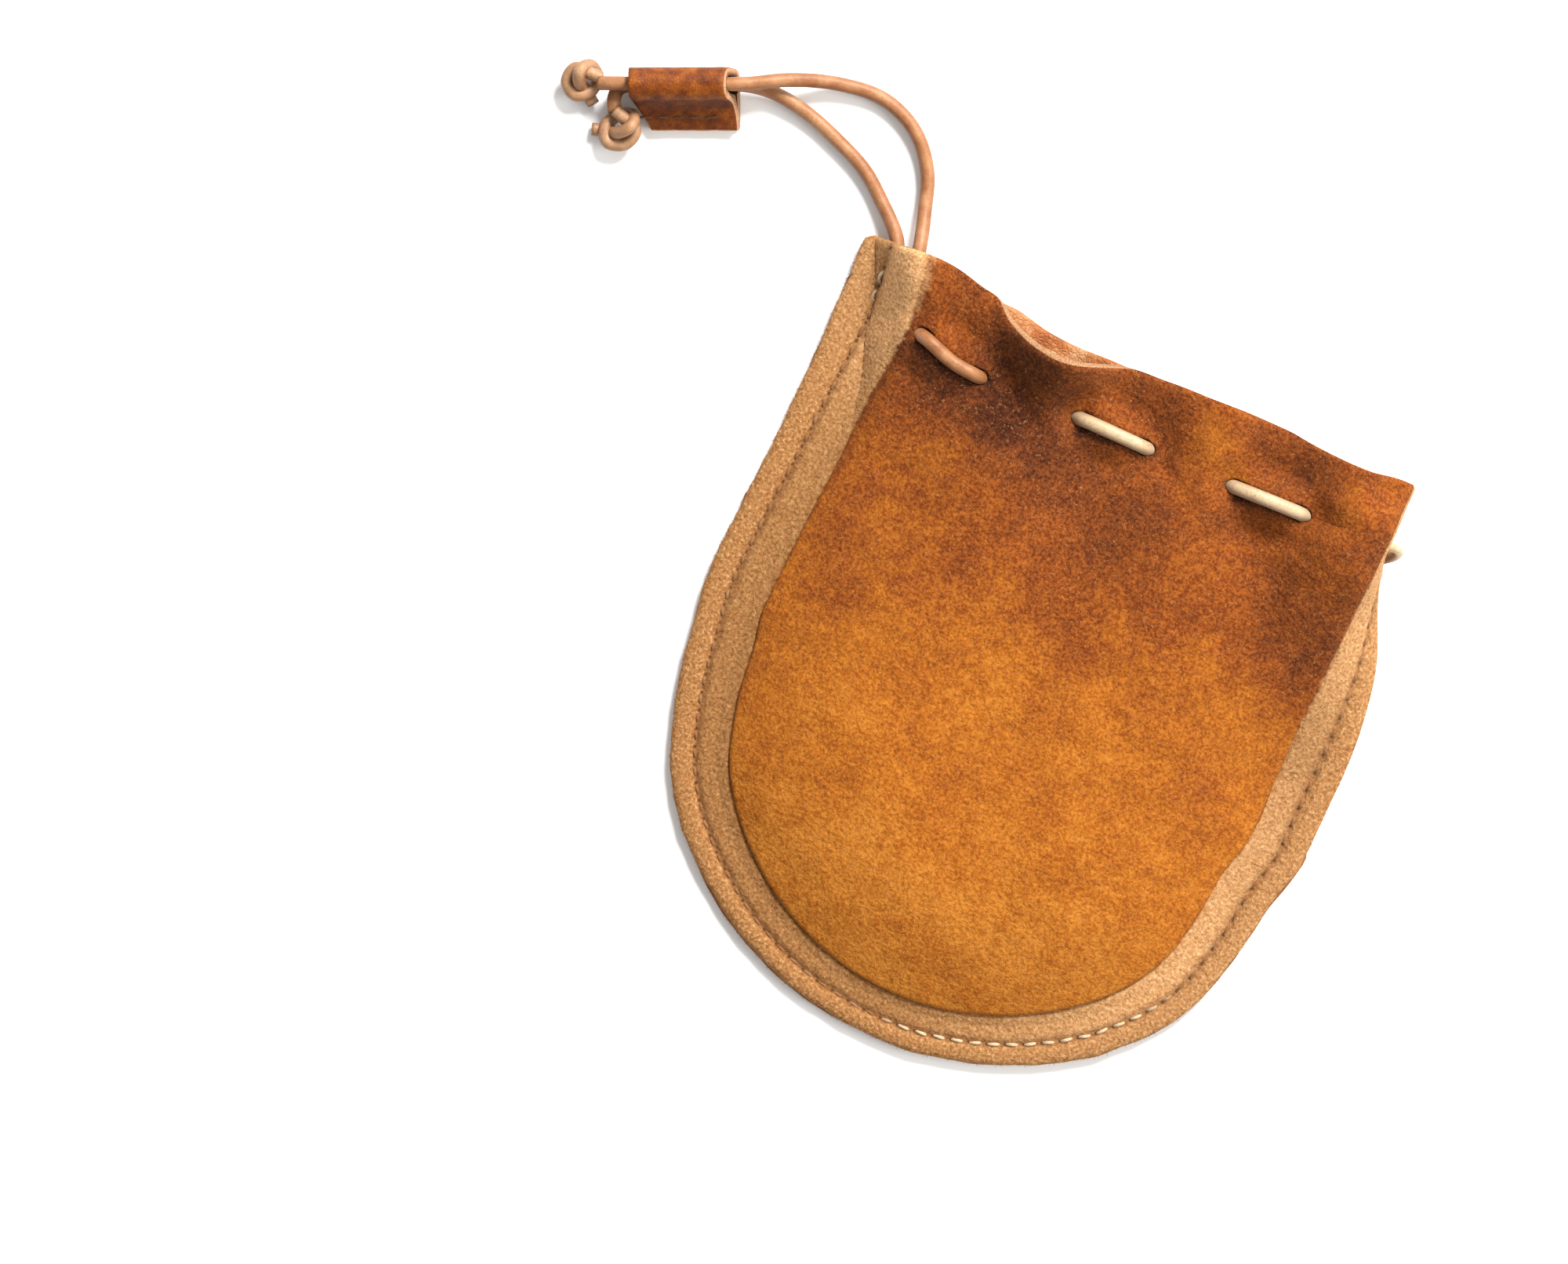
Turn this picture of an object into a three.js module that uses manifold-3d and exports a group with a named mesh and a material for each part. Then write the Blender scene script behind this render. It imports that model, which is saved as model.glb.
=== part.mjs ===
import * as THREE from 'three';
import { mergeVertices } from 'three/addons/utils/BufferGeometryUtils.js';
import Module from 'manifold-3d';

const wasm = await Module();
wasm.setup();

// Driving sizes in millimetres. X runs along the mouth, Y towards the mouth, Z up from the table.
const PANEL_WIDTH = 101.4;
const SIDE_LENGTH = 58;
const LEATHER = 1.5;
const MARGIN_LEATHER = 1.0;
const BAND_WIDTH = 9.7;
const SKIVE_STEP = 0.6;
const SEAM_ALLOWANCE = 4.2;
const SEAT_REACH = 2.5;
const SEAT_RISE = 2.2;
const LAYER_GAP = 0.3;
const PUFF_HEIGHT = 7.1;
const PUFF_LENGTH = 26;
const PUFF_FULLNESS = 2.2;
const GATHER_DEPTH = 1.6;
const GATHER_PITCH = 26.9;
const GATHER_INSET = 8;
const MOUTH_FLARE = 6.5;
const FLARE_CURL = 1.4;
const FOLD_RADIUS = 2.5;
const FOLD_SETBACK = 2.8;
const FOLD_TUCK = THREE.MathUtils.degToRad(40);
const CORD_DIAMETER = 2.5;
const CORD_CLEARANCE = 0.25;
const CORD_SIDES = 8;
const PUNCH_SIDES = 12;
const PUNCH_REACH = 0.6;
const WRAP_HALF_LENGTH = 3.5;
const WRAP_FADE = 7;
const RAISE_HALF_LENGTH = 5.3;
const RAISE_FADE = 5.7;
const RAISE_INSET = 6;
const SLIDER_LENGTH = 17.1;
const SLIDER_LEATHER = 1.1;
const TAB_WIDTH = 4.2;
const TAB_SLANT = 2.8;
const KNOT_CORD_DIAMETER = 2.2;
const KNOT_SIDES = 6;

// Places. The bottom is a half round about CENTRE_Y, and LACE_Y is where the cord turns round
// the right side.
const HALF = PANEL_WIDTH / 2;
const CENTRE_Y = -4;
const LACE_Y = 42.2;
const CORD_RAISE = CORD_DIAMETER + 2 * CORD_CLEARANCE;
const BEND_REACH = 26;

// Shares of the side where the gathers and the raised stretches begin and are full, and shares of
// half the width for the flared part of the mouth. LIP is the flared share of the side, and
// OPEN_EDGE the share of the band that stays down beside the left raised stretch.
const GATHER_FROM = 0.25;
const GATHER_OVER = 0.5;
const RAISE_FROM = 0.5;
const RAISE_OVER = 0.24;
const FLARE_MIDDLE = -0.33;
const FLARE_REACH = 0.25;
const LIP = 0.2;
const OPEN_EDGE = 0.78;

// The outline: at counts 0 to 1 down the left side, 1 to 2 round the bottom, 2 to 3 up the right.
// share is the distance from the middle as a share of half the width.
const OUTLINE = [
  { at: 0.0, share: 1.0 },
  { at: 0.3, share: 0.99 },
  { at: 0.55, share: 0.988 },
  { at: 0.8, share: 1.0 },
  { at: 1.0, share: 1.0 },
  { at: 1.05, share: 0.985 },
  { at: 1.13, share: 1.003 },
  { at: 1.2, share: 1.028 },
  { at: 1.28, share: 1.035 },
  { at: 1.5, share: 1.043 },
  { at: 1.64, share: 1.052 },
  { at: 1.74, share: 1.057 },
  { at: 1.81, share: 1.047 },
  { at: 1.88, share: 1.007 },
  { at: 1.94, share: 0.982 },
  { at: 2.0, share: 1.0 },
  { at: 3.0, share: 1.0 },
];

// The mouth lines: across is a share of half the width, front and back are shares of the side.
const MOUTH = [
  { across: -1.0, front: 1.015, back: 1.003 },
  { across: -0.89, front: 1.012, back: 1.005 },
  { across: -0.81, front: 1.019, back: 1.005 },
  { across: -0.72, front: 1.019, back: 1.0 },
  { across: -0.61, front: 1.003, back: 0.99 },
  { across: -0.55, front: 0.993, back: 0.99 },
  { across: -0.48, front: 0.953, back: 0.99 },
  { across: -0.38, front: 0.922, back: 0.975 },
  { across: -0.28, front: 0.921, back: 0.971 },
  { across: -0.12, front: 0.972, back: 0.975 },
  { across: 0.0, front: 0.981, back: 0.972 },
  { across: 0.2, front: 0.99, back: 0.975 },
  { across: 0.4, front: 1.0, back: 0.985 },
  { across: 0.55, front: 0.991, back: 0.98 },
  { across: 0.72, front: 0.99, back: 0.98 },
  { across: 0.82, front: 1.009, back: 0.99 },
  { across: 1.0, front: 1.009, back: 0.99 },
];

// The rows up the sides: along is a share of the side. puff is the clear height inside as a share
// of PUFF_HEIGHT, tilt the fall of the right band in degrees, opening the inset from the left
// cut edge where the layers part as a share of BAND_WIDTH, rise and shoulder the lengths of the
// rise on the left and of the fall from the right fold as shares of PUFF_LENGTH.
const LENGTHWISE = [
  { along: -0.1, puff: 1.0, tilt: 0, opening: 1.0, rise: 1.0, shoulder: 1.0 },
  { along: 0.16, puff: 1.0, tilt: 0, opening: 1.0, rise: 1.0, shoulder: 1.0 },
  { along: 0.44, puff: 1.0, tilt: 29, opening: 1.0, rise: 0.95, shoulder: 0.8 },
  { along: 0.52, puff: 0.99, tilt: 38, opening: 0.95, rise: 0.85, shoulder: 0.7 },
  { along: 0.63, puff: 0.96, tilt: 55, opening: 0.8, rise: 0.7, shoulder: 0.62 },
  { along: 0.76, puff: 0.88, tilt: 77, opening: 0.56, rise: 0.45, shoulder: 0.57 },
  { along: 0.83, puff: 0.85, tilt: 90, opening: 0.5, rise: 0.34, shoulder: 0.56 },
  { along: 0.93, puff: 0.83, tilt: 90, opening: 0.36, rise: 0.3, shoulder: 0.56 },
  { along: 1.02, puff: 0.82, tilt: 90, opening: 0.2, rise: 0.29, shoulder: 0.58 },
];

// The outside stretches of the cord: middle across the front and the back panel, as shares of
// half the width.
const DASHES = [
  { front: -0.614, back: -0.614 },
  { front: -0.061, back: -0.061 },
  { front: 0.444, back: 0.402 },
];

// The cord's route, chosen by hand, from the upper knot round both panels to the lower knot.
const CORD_ROUTE = [
  [-97.4, 57.85, 4.3], [-96.6, 58.2, 4.8], [-95.5, 58.65, 5.2], [-93.8, 59.4, 5.4],
  [-88.0, 62.1, 5.4], [-81.5, 65.1, 5.4], [-77.0, 67.2, 5.4], [-71.5, 70.5, 4.3],
  [-64.5, 73.3, 2.1], [-57.0, 74.2, 1.35],
  [-50.5, 71.7, 1.35], [-46.2, 66.8, 1.35], [-44.2, 61.5, 1.9], [-42.4, 55.6, 3.8],
  [-41.2, 49.5, 5.0], [-39.3, 44.6, 6.1], [-36.0, 43.4, 10.25], [-30.4, 41.9, 9.7],
  [-26.5, 41.7, 10.35], [-23.2, 41.7, 6.95], [-11.2, 42.3, 7.0], [-7.8, 42.4, 10.4],
  [1.6, 42.6, 10.65], [5.0, 42.6, 7.1], [14.2, 42.8, 6.9], [17.6, 42.9, 10.5],
  [27.4, 43.4, 12.3], [30.8, 43.5, 9.3], [38.4, 43.9, 11.7], [43.75, 43.7, 10.4],
  [44.1, 42.7, 5.0], [41.9, 41.6, 1.35], [35.2, 40.5, 1.3], [31.8, 40.5, 5.1],
  [27.7, 40.5, 4.7], [24.3, 40.5, 1.3], [16.5, 40.5, 1.3], [13.1, 40.5, 4.7],
  [5.0, 40.5, 4.3], [1.6, 40.5, 1.3], [-7.8, 40.5, 1.3], [-11.2, 40.5, 4.7],
  [-23.2, 40.5, 4.8], [-26.6, 40.5, 1.3], [-35.7, 40.5, 1.3], [-39.1, 40.8, 4.5],
  [-42.8, 45.5, 3.0], [-44.6, 50.5, 2.8], [-45.8, 55.0, 2.5], [-51.0, 60.0, 1.4],
  [-55.2, 63.1, 1.35], [-60.4, 65.3, 1.35], [-66.5, 67.2, 1.5], [-72.5, 67.9, 2.1],
  [-77.2, 67.1, 2.6], [-88.0, 62.1, 2.6], [-93.3, 59.6, 2.6], [-94.5, 58.8, 2.5],
  [-95.0, 57.3, 2.6], [-94.9, 55.9, 2.95],
];
// The route's segments that pass through each panel, by the number of their first point.
const FRONT_CROSSINGS = [15, 18, 20, 22, 24, 26, 28];
const BACK_CROSSINGS = [32, 34, 36, 38, 40, 42, 44];

const mix = (from, to, share) => from + (to - from) * share;
const clamp = (value) => Math.min(1, Math.max(0, value));
const smooth = (value) => {
  const t = clamp(value);
  return t * t * (3 - 2 * t);
};

// A smooth reading of one column of a table between its rows.
function read(table, key, column, at) {
  const last = table.length - 1;
  const index = Math.max(0, Math.min(last - 1, table.findIndex((row) => row[key] > at) - 1));
  const row = at >= table[last][key] ? last - 1 : index;
  const slope = (i) => {
    const low = table[Math.max(0, i - 1)];
    const high = table[Math.min(last, i + 1)];
    return (high[column] - low[column]) / (high[key] - low[key]);
  };
  const start = table[row];
  const end = table[row + 1];
  const span = end[key] - start[key];
  const t = clamp((at - start[key]) / span);
  const bend = (slope(row) - (end[column] - start[column]) / span) * (1 - t)
    - (slope(row + 1) - (end[column] - start[column]) / span) * t;
  return mix(start[column], end[column], t) + t * (1 - t) * span * bend;
}

// Where a point of the flat panel lies: station along the outline, inset from the cut edge.
function place(station, inset, layer) {
  const reach = HALF * read(OUTLINE, 'at', 'share', station);
  if (station >= 1 && station <= 2) {
    const angle = (station - 1.5) * Math.PI;
    const radius = Math.max(0, reach - inset);
    return {
      side: station < 1.5 ? -1 : 1,
      round: true,
      x: radius * Math.sin(angle),
      y: CENTRE_Y - radius * Math.cos(angle),
      inset,
    };
  }
  const side = station < 1 ? -1 : 1;
  const x = side * Math.max(0, reach - inset);
  const share = side < 0 ? 1 - station : station - 2;
  const y = CENTRE_Y + SIDE_LENGTH * share * read(MOUTH, 'across', layer, x / HALF);
  return { side, round: false, x, y, inset, share };
}

const alongOf = (y) => (y - CENTRE_Y) / SIDE_LENGTH;
const bump = (x, reach) => (Math.abs(x) < reach ? 0.5 + 0.5 * Math.cos(Math.PI * x / reach) : 0);
const plateau = (x, flat, fall) => 1 - smooth((Math.abs(x) - flat) / fall);
const dashRaise = (x, dash) => plateau(x - dash.back * HALF, RAISE_HALF_LENGTH, RAISE_FADE);

// How much the inner faces lie higher inside the band, where the leather has its full thickness.
function seat(inset) {
  return (LEATHER - MARGIN_LEATHER) * smooth((inset - BAND_WIDTH + SEAT_REACH) / SEAT_RISE);
}

// The inner face of the front panel's right band, which folds down towards the table.
function bandProfile(y, inset) {
  const slope = Math.max(0, read(LENGTHWISE, 'along', 'tilt', alongOf(y)));
  const tilt = THREE.MathUtils.degToRad(slope);
  const turned = tilt / (Math.PI / 2);
  const start = BAND_WIDTH + FOLD_SETBACK * smooth(tilt / (Math.PI / 3));
  const tuck = FOLD_TUCK * turned * turned;
  const arc = Math.min(FOLD_RADIUS * tilt, start - SEAM_ALLOWANCE);
  const walk = (length) => {
    const bent = Math.min(length, arc);
    const angle = bent / FOLD_RADIUS;
    const wall = Math.min(Math.max(0, length - arc), start - SEAM_ALLOWANCE - arc);
    const edge = Math.max(0, length - (start - SEAM_ALLOWANCE));
    const swing = turned > 0 ? 1 : 0;
    const out = swing ? FOLD_RADIUS * Math.sin(angle) : bent;
    return {
      out: out + wall * Math.cos(tilt) + edge * Math.cos(tilt + tuck),
      fall: swing * FOLD_RADIUS * (1 - Math.cos(angle)) + wall * Math.sin(tilt)
        + edge * Math.sin(tilt + tuck),
      angle: edge > 0 ? tilt + tuck : bent < arc ? angle : tilt,
    };
  };
  const lowest = Math.cos(tilt + tuck);
  const under = lowest > 0 ? (MARGIN_LEATHER + LAYER_GAP) * lowest : -MARGIN_LEATHER * lowest;
  const beside = plateau(y - LACE_Y, WRAP_HALF_LENGTH, WRAP_FADE);
  const wrap = turned * beside * (CORD_RAISE + CORD_CLEARANCE);
  const crest = walk(start).fall + under + wrap;
  const step = walk(Math.max(0, start - inset));
  return { start, turned, crest, out: step.out, fall: step.fall, angle: step.angle };
}

// The inner face of the front panel above the table.
function frontFace(station, inset) {
  const spot = place(station, inset, 'front');
  const along = alongOf(spot.y);
  const puff = PUFF_HEIGHT * read(LENGTHWISE, 'along', 'puff', along);
  const top = LEATHER + LAYER_GAP + puff;
  let start = BAND_WIDTH;
  let base = MARGIN_LEATHER + LAYER_GAP;
  let rise = PUFF_LENGTH;
  let turned = 0;
  if (!spot.round && spot.side > 0) {
    const band = bandProfile(spot.y, inset);
    start = band.start;
    base = band.crest;
    turned = band.turned;
    rise = PUFF_LENGTH * read(LENGTHWISE, 'along', 'shoulder', along);
    if (inset < start) {
      const height = band.crest - band.fall + seat(inset) * (1 - turned);
      return new THREE.Vector3(HALF - start + band.out, spot.y, height);
    }
  } else if (!spot.round) {
    start = BAND_WIDTH * read(LENGTHWISE, 'along', 'opening', along);
    rise = PUFF_LENGTH * read(LENGTHWISE, 'along', 'rise', along);
  }
  const step = clamp((inset - start) / rise);
  const dome = mix(1 - (1 - step) ** PUFF_FULLNESS, smooth(step), clamp(1.5 * turned));
  const inside = smooth((inset - start) / GATHER_INSET);
  const gathered = smooth((along - GATHER_FROM) / GATHER_OVER) * inside;
  const wave = -Math.cos(2 * Math.PI * (spot.x - DASHES[0].front * HALF) / GATHER_PITCH);
  const lip = spot.round ? 0 : clamp(1 - (1 - spot.share) / LIP) ** FLARE_CURL;
  const flare = MOUTH_FLARE * lip * bump(spot.x - FLARE_MIDDLE * HALF, FLARE_REACH * HALF);
  base += seat(inset) * (1 - turned);
  const height = mix(base, top, dome) + GATHER_DEPTH * gathered * wave + flare;
  return new THREE.Vector3(spot.x, spot.y, height);
}

// The inner face of the back panel, raised where the cord runs between it and the table.
function backFace(station, inset) {
  const spot = place(station, inset, 'back');
  const along = alongOf(spot.y);
  const left = !spot.round && spot.side < 0;
  const raised = DASHES.reduce((most, dash) => Math.max(most, dashRaise(spot.x, dash)), 0);
  const edge = left ? OPEN_EDGE * BAND_WIDTH : BAND_WIDTH;
  const up = smooth((along - RAISE_FROM) / RAISE_OVER) * smooth((inset - edge) / RAISE_INSET);
  const lift = CORD_RAISE * raised * up;
  const flat = MARGIN_LEATHER + seat(inset) + lift;
  if (left || spot.round || inset > BEND_REACH) {
    return new THREE.Vector3(spot.x, spot.y, flat);
  }
  const band = bandProfile(spot.y, Math.min(inset, SEAM_ALLOWANCE));
  const x = HALF - band.start + band.out - LAYER_GAP * Math.sin(band.angle);
  const z = band.crest - band.fall - LAYER_GAP * Math.cos(band.angle);
  const share = clamp((inset - SEAM_ALLOWANCE) / (BEND_REACH - SEAM_ALLOWANCE));
  const bent = smooth(band.turned * 4);
  return new THREE.Vector3(
    mix(spot.x, mix(x, HALF - BEND_REACH, share), share > 0 ? bent : 1),
    spot.y,
    share > 0 ? mix(flat, mix(z, flat, smooth(share)), bent) : z,
  );
}

const SIDE_ROWS = [0, 0.035, 0.09, 0.15, 0.195, 0.235, 0.28, 0.34, 0.42, 0.52, 0.63, 0.75, 0.87];
const ROUND_ROWS = 20;
const BAND_COLUMNS = [
  0, 0.5 * SEAM_ALLOWANCE, SEAM_ALLOWANCE, 0.72 * BAND_WIDTH, BAND_WIDTH, BAND_WIDTH + SKIVE_STEP,
];
const INNER_COLUMNS = [0.07, 0.16, 0.26, 0.37, 0.49, 0.61, 0.73, 0.86, 1];
const STATIONS = [
  ...SIDE_ROWS,
  ...Array.from({ length: ROUND_ROWS + 1 }, (_, row) => 1 + row / ROUND_ROWS),
  ...SIDE_ROWS.map((row) => 3 - row).reverse(),
];

// A leather panel: its inner face thickened to one side, thinner in the band along the seam.
function panel(face, layer, direction) {
  const inner = BAND_COLUMNS.at(-1);
  const insetOf = (station, column) => {
    if (column < BAND_COLUMNS.length) {
      return BAND_COLUMNS[column];
    }
    const reach = HALF * read(OUTLINE, 'at', 'share', station);
    return mix(inner, reach, INNER_COLUMNS[column - BAND_COLUMNS.length]);
  };
  const columns = BAND_COLUMNS.length + INNER_COLUMNS.length;
  const points = [];
  const thickness = [];
  const known = new Map();
  const grid = STATIONS.map((station) => Array.from({ length: columns }, (_, column) => {
    const point = face(station, insetOf(station, column));
    const name = point.toArray().map((value) => Math.round(value * 1e4)).join();
    if (!known.has(name)) {
      known.set(name, points.length);
      points.push(point);
      thickness.push(column < BAND_COLUMNS.length - 1 ? MARGIN_LEATHER : LEATHER);
    }
    return known.get(name);
  }));
  const faces = [];
  const addFace = (a, b, c) => {
    if (a !== b && b !== c && c !== a) {
      faces.push([a, b, c]);
    }
  };
  for (let row = 0; row < grid.length - 1; row += 1) {
    for (let column = 0; column < columns - 1; column += 1) {
      const [a, b] = [grid[row][column], grid[row][column + 1]];
      const [c, d] = [grid[row + 1][column + 1], grid[row + 1][column]];
      addFace(a, d, c);
      addFace(a, c, b);
    }
  }
  const sheet = new THREE.BufferGeometry();
  const inside = points.flatMap((point) => point.toArray());
  sheet.setAttribute('position', new THREE.Float32BufferAttribute(inside, 3));
  sheet.setIndex(faces.flat());
  sheet.computeVertexNormals();
  const normal = sheet.getAttribute('normal');
  const count = points.length;
  const outer = points.map((point, i) => {
    const offset = new THREE.Vector3().fromBufferAttribute(normal, i);
    return offset.multiplyScalar(direction * thickness[i]).add(point);
  });
  outer.forEach((point) => point.setZ(Math.max(0, point.z)));
  const rim = [
    ...grid.map((row) => row[0]),
    ...grid.at(-1).slice(1),
    ...grid[0].slice(0, -1).reverse(),
  ];
  const up = direction > 0 ? count : 0;
  const down = count - up;
  const triangles = [
    ...faces.map(([a, b, c]) => [a + up, b + up, c + up]),
    ...faces.map(([a, b, c]) => [a + down, c + down, b + down]),
  ];
  rim.forEach((here, i) => {
    const next = rim[(i + 1) % rim.length];
    if (here !== next) {
      triangles.push([here + down, next + down, next + up], [here + down, next + up, here + up]);
    }
  });
  const shell = new THREE.BufferGeometry();
  const all = [...points, ...outer].flatMap((point) => point.toArray());
  shell.setAttribute('position', new THREE.Float32BufferAttribute(all, 3));
  shell.setIndex(triangles.flat());
  return shell;
}

// Cuts and joins.
function solidOf(geometry) {
  const bare = geometry.clone();
  bare.deleteAttribute('normal');
  bare.deleteAttribute('uv');
  const merged = mergeVertices(bare, 1e-4);
  return new wasm.Manifold(new wasm.Mesh({
    numProp: 3,
    vertProperties: new Float32Array(merged.getAttribute('position').array),
    triVerts: new Uint32Array(merged.getIndex().array),
  }));
}

function geometryOf(solid) {
  const mesh = solid.getMesh();
  const geometry = new THREE.BufferGeometry();
  geometry.setAttribute('position', new THREE.BufferAttribute(mesh.vertProperties, 3));
  geometry.setIndex(new THREE.BufferAttribute(mesh.triVerts, 1));
  geometry.computeVertexNormals();
  return geometry;
}

// A curve whose steps fall on the points it was given.
class PointedCurve extends THREE.CatmullRomCurve3 {
  getUtoTmapping(share) {
    return share;
  }
}

function tube(points, radius, sides) {
  const curve = new PointedCurve(points.map((point) => new THREE.Vector3(...point)));
  const section = new THREE.Shape(Array.from({ length: sides }, (_, i) => {
    const angle = 2 * Math.PI * i / sides;
    return new THREE.Vector2(radius * Math.cos(angle), radius * Math.sin(angle));
  }));
  return new THREE.ExtrudeGeometry(section, {
    steps: points.length - 1,
    extrudePath: curve,
  });
}

// The lacing holes: a round punch along each segment of the cord that passes through a panel.
function punched(geometry, crossings) {
  const cutter = CORD_DIAMETER / 2 + CORD_CLEARANCE;
  const solid = crossings.reduce((left, first) => {
    const start = new THREE.Vector3(...CORD_ROUTE[first]);
    const end = new THREE.Vector3(...CORD_ROUTE[first + 1]);
    const reach = end.clone().sub(start).normalize().multiplyScalar(PUNCH_REACH);
    const line = [start.clone().sub(reach).toArray(), end.clone().add(reach).toArray()];
    return left.subtract(solidOf(tube(line, cutter, PUNCH_SIDES)));
  }, solidOf(geometry));
  return geometryOf(solid);
}

// The sleeve: leather folded round both cords, its two ends sewn together as a tab. Its bore is
// two cords high.
const SLIDER_RIGHT_END = new THREE.Vector3(-77.9, 66.75, 0);
const SLIDER_HEADING = THREE.MathUtils.degToRad(25);
const TAB_THICKNESS = 1.8 * SLIDER_LEATHER;

function sliderGeometry() {
  const bore = CORD_DIAMETER / 2 + CORD_CLEARANCE;
  const outer = bore + SLIDER_LEATHER;
  const low = outer;
  const high = low + CORD_DIAMETER + CORD_CLEARANCE;
  const profile = new THREE.Shape();
  profile.moveTo(outer + TAB_WIDTH - 0.7 * SLIDER_LEATHER, 0);
  profile.lineTo(outer + TAB_WIDTH, TAB_THICKNESS);
  profile.lineTo(outer, low + TAB_THICKNESS - SLIDER_LEATHER / 5);
  profile.absarc(0, high, outer, 0, Math.PI, false);
  profile.absarc(0, low, outer, Math.PI, 1.8 * Math.PI, false);
  profile.closePath();
  const hollow = new THREE.Path();
  hollow.absarc(0, high, bore, 0, Math.PI, false);
  hollow.absarc(0, low, bore, Math.PI, 2 * Math.PI, false);
  profile.holes.push(hollow);
  const geometry = new THREE.ExtrudeGeometry(profile, {
    depth: SLIDER_LENGTH,
    bevelEnabled: false,
    curveSegments: 7,
  });
  const slant = new THREE.BoxGeometry(SLIDER_LENGTH, SLIDER_LENGTH, SLIDER_LENGTH);
  slant.translate(SLIDER_LENGTH / 2, 0, SLIDER_LENGTH / 2);
  slant.rotateY(Math.atan2(TAB_SLANT, TAB_WIDTH)).translate(outer, 0, SLIDER_LENGTH);
  const sleeve = geometryOf(solidOf(geometry).subtract(solidOf(slant)));
  const axis = new THREE.Vector3(Math.cos(SLIDER_HEADING), Math.sin(SLIDER_HEADING), 0);
  const across = new THREE.Vector3(axis.y, -axis.x, 0);
  const basis = new THREE.Matrix4().makeBasis(across, new THREE.Vector3(0, 0, 1), axis.negate());
  return sleeve.applyMatrix4(basis.setPosition(SLIDER_RIGHT_END));
}

// An overhand knot: the cord's own points from where it comes in to its cut end, in millimetres.
const KNOT_ROUTE = [
  [2.7, 0.4, 1.1], [1.1, 1.1, 1.2], [-1.3, 1.9, 0.6], [-2.6, 0.0, 0.0], [-1.4, -2.0, -0.1],
  [0.9, -1.6, -0.4], [2.0, 0.5, -1.2], [1.2, 2.3, -0.2], [-0.5, 1.6, 2.3], [-0.7, -0.2, 1.2],
  [0.4, -1.6, -1.4], [1.4, -3.4, -1.2],
];

function knotGeometry(centre, heading) {
  const turn = new THREE.Matrix4().makeRotationZ(heading).setPosition(centre);
  const points = KNOT_ROUTE.map((point) => new THREE.Vector3(...point).applyMatrix4(turn).toArray());
  const radius = KNOT_CORD_DIAMETER / 2;
  const pieces = [];
  for (let first = 0; first < points.length - 1; first += 3) {
    pieces.push(solidOf(tube(points.slice(first, first + 5), radius, KNOT_SIDES)));
  }
  return geometryOf(pieces.reduce((joined, piece) => joined.add(piece)));
}

const KNOT_LIFT = KNOT_CORD_DIAMETER / 2 + 1.4;
const UPPER_KNOT = new THREE.Vector3(-100.4, 55.9, KNOT_LIFT);
const UPPER_HEADING = THREE.MathUtils.degToRad(25);
const LOWER_KNOT = new THREE.Vector3(-93.2, 53.1, KNOT_LIFT);
const LOWER_HEADING = THREE.MathUtils.degToRad(120);

const FINISHES = {
  suede: new THREE.MeshStandardMaterial({ color: 0xb8722f, roughness: 0.95, metalness: 0 }),
  suedeBack: new THREE.MeshStandardMaterial({ color: 0xa8662a, roughness: 0.95, metalness: 0 }),
  cord: new THREE.MeshStandardMaterial({ color: 0xe0a878, roughness: 0.6, metalness: 0 }),
  grain: new THREE.MeshStandardMaterial({ color: 0xb45f22, roughness: 0.45, metalness: 0 }),
  knot: new THREE.MeshStandardMaterial({ color: 0xe2ac7e, roughness: 0.6, metalness: 0 }),
};

function piece(name, geometry, material) {
  const mesh = new THREE.Mesh(geometry, material);
  mesh.name = name;
  return mesh;
}

const group = new THREE.Group();
group.add(piece('front_panel', punched(panel(frontFace, 'front', 1), FRONT_CROSSINGS), FINISHES.suede));
group.add(piece('back_panel', punched(panel(backFace, 'back', -1), BACK_CROSSINGS), FINISHES.suedeBack));
group.add(piece('drawstring', tube(CORD_ROUTE, CORD_DIAMETER / 2, CORD_SIDES), FINISHES.cord));
group.add(piece('slider', sliderGeometry(), FINISHES.grain));
group.add(piece('knot_upper', knotGeometry(UPPER_KNOT, UPPER_HEADING), FINISHES.knot));
group.add(piece('knot_lower', knotGeometry(LOWER_KNOT, LOWER_HEADING), FINISHES.knot.clone()));

export default group;
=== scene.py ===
import math
import random
from bisect import bisect_right

import bmesh
import bpy
from mathutils import Matrix, Vector, noise
from mathutils.geometry import tessellate_polygon
from mathutils.kdtree import KDTree


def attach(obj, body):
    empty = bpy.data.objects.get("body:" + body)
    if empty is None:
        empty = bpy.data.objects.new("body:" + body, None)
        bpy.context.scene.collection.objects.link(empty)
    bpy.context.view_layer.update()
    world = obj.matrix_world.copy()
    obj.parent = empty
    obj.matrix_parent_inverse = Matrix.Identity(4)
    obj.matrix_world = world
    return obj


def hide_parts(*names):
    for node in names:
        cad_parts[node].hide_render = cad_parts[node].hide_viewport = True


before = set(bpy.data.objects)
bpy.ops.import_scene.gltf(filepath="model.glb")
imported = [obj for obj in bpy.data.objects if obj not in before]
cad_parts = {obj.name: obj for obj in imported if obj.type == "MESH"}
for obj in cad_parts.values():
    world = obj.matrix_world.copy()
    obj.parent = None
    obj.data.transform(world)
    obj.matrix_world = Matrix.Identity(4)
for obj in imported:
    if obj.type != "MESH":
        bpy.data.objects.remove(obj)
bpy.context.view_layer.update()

MM = 0.001

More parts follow.
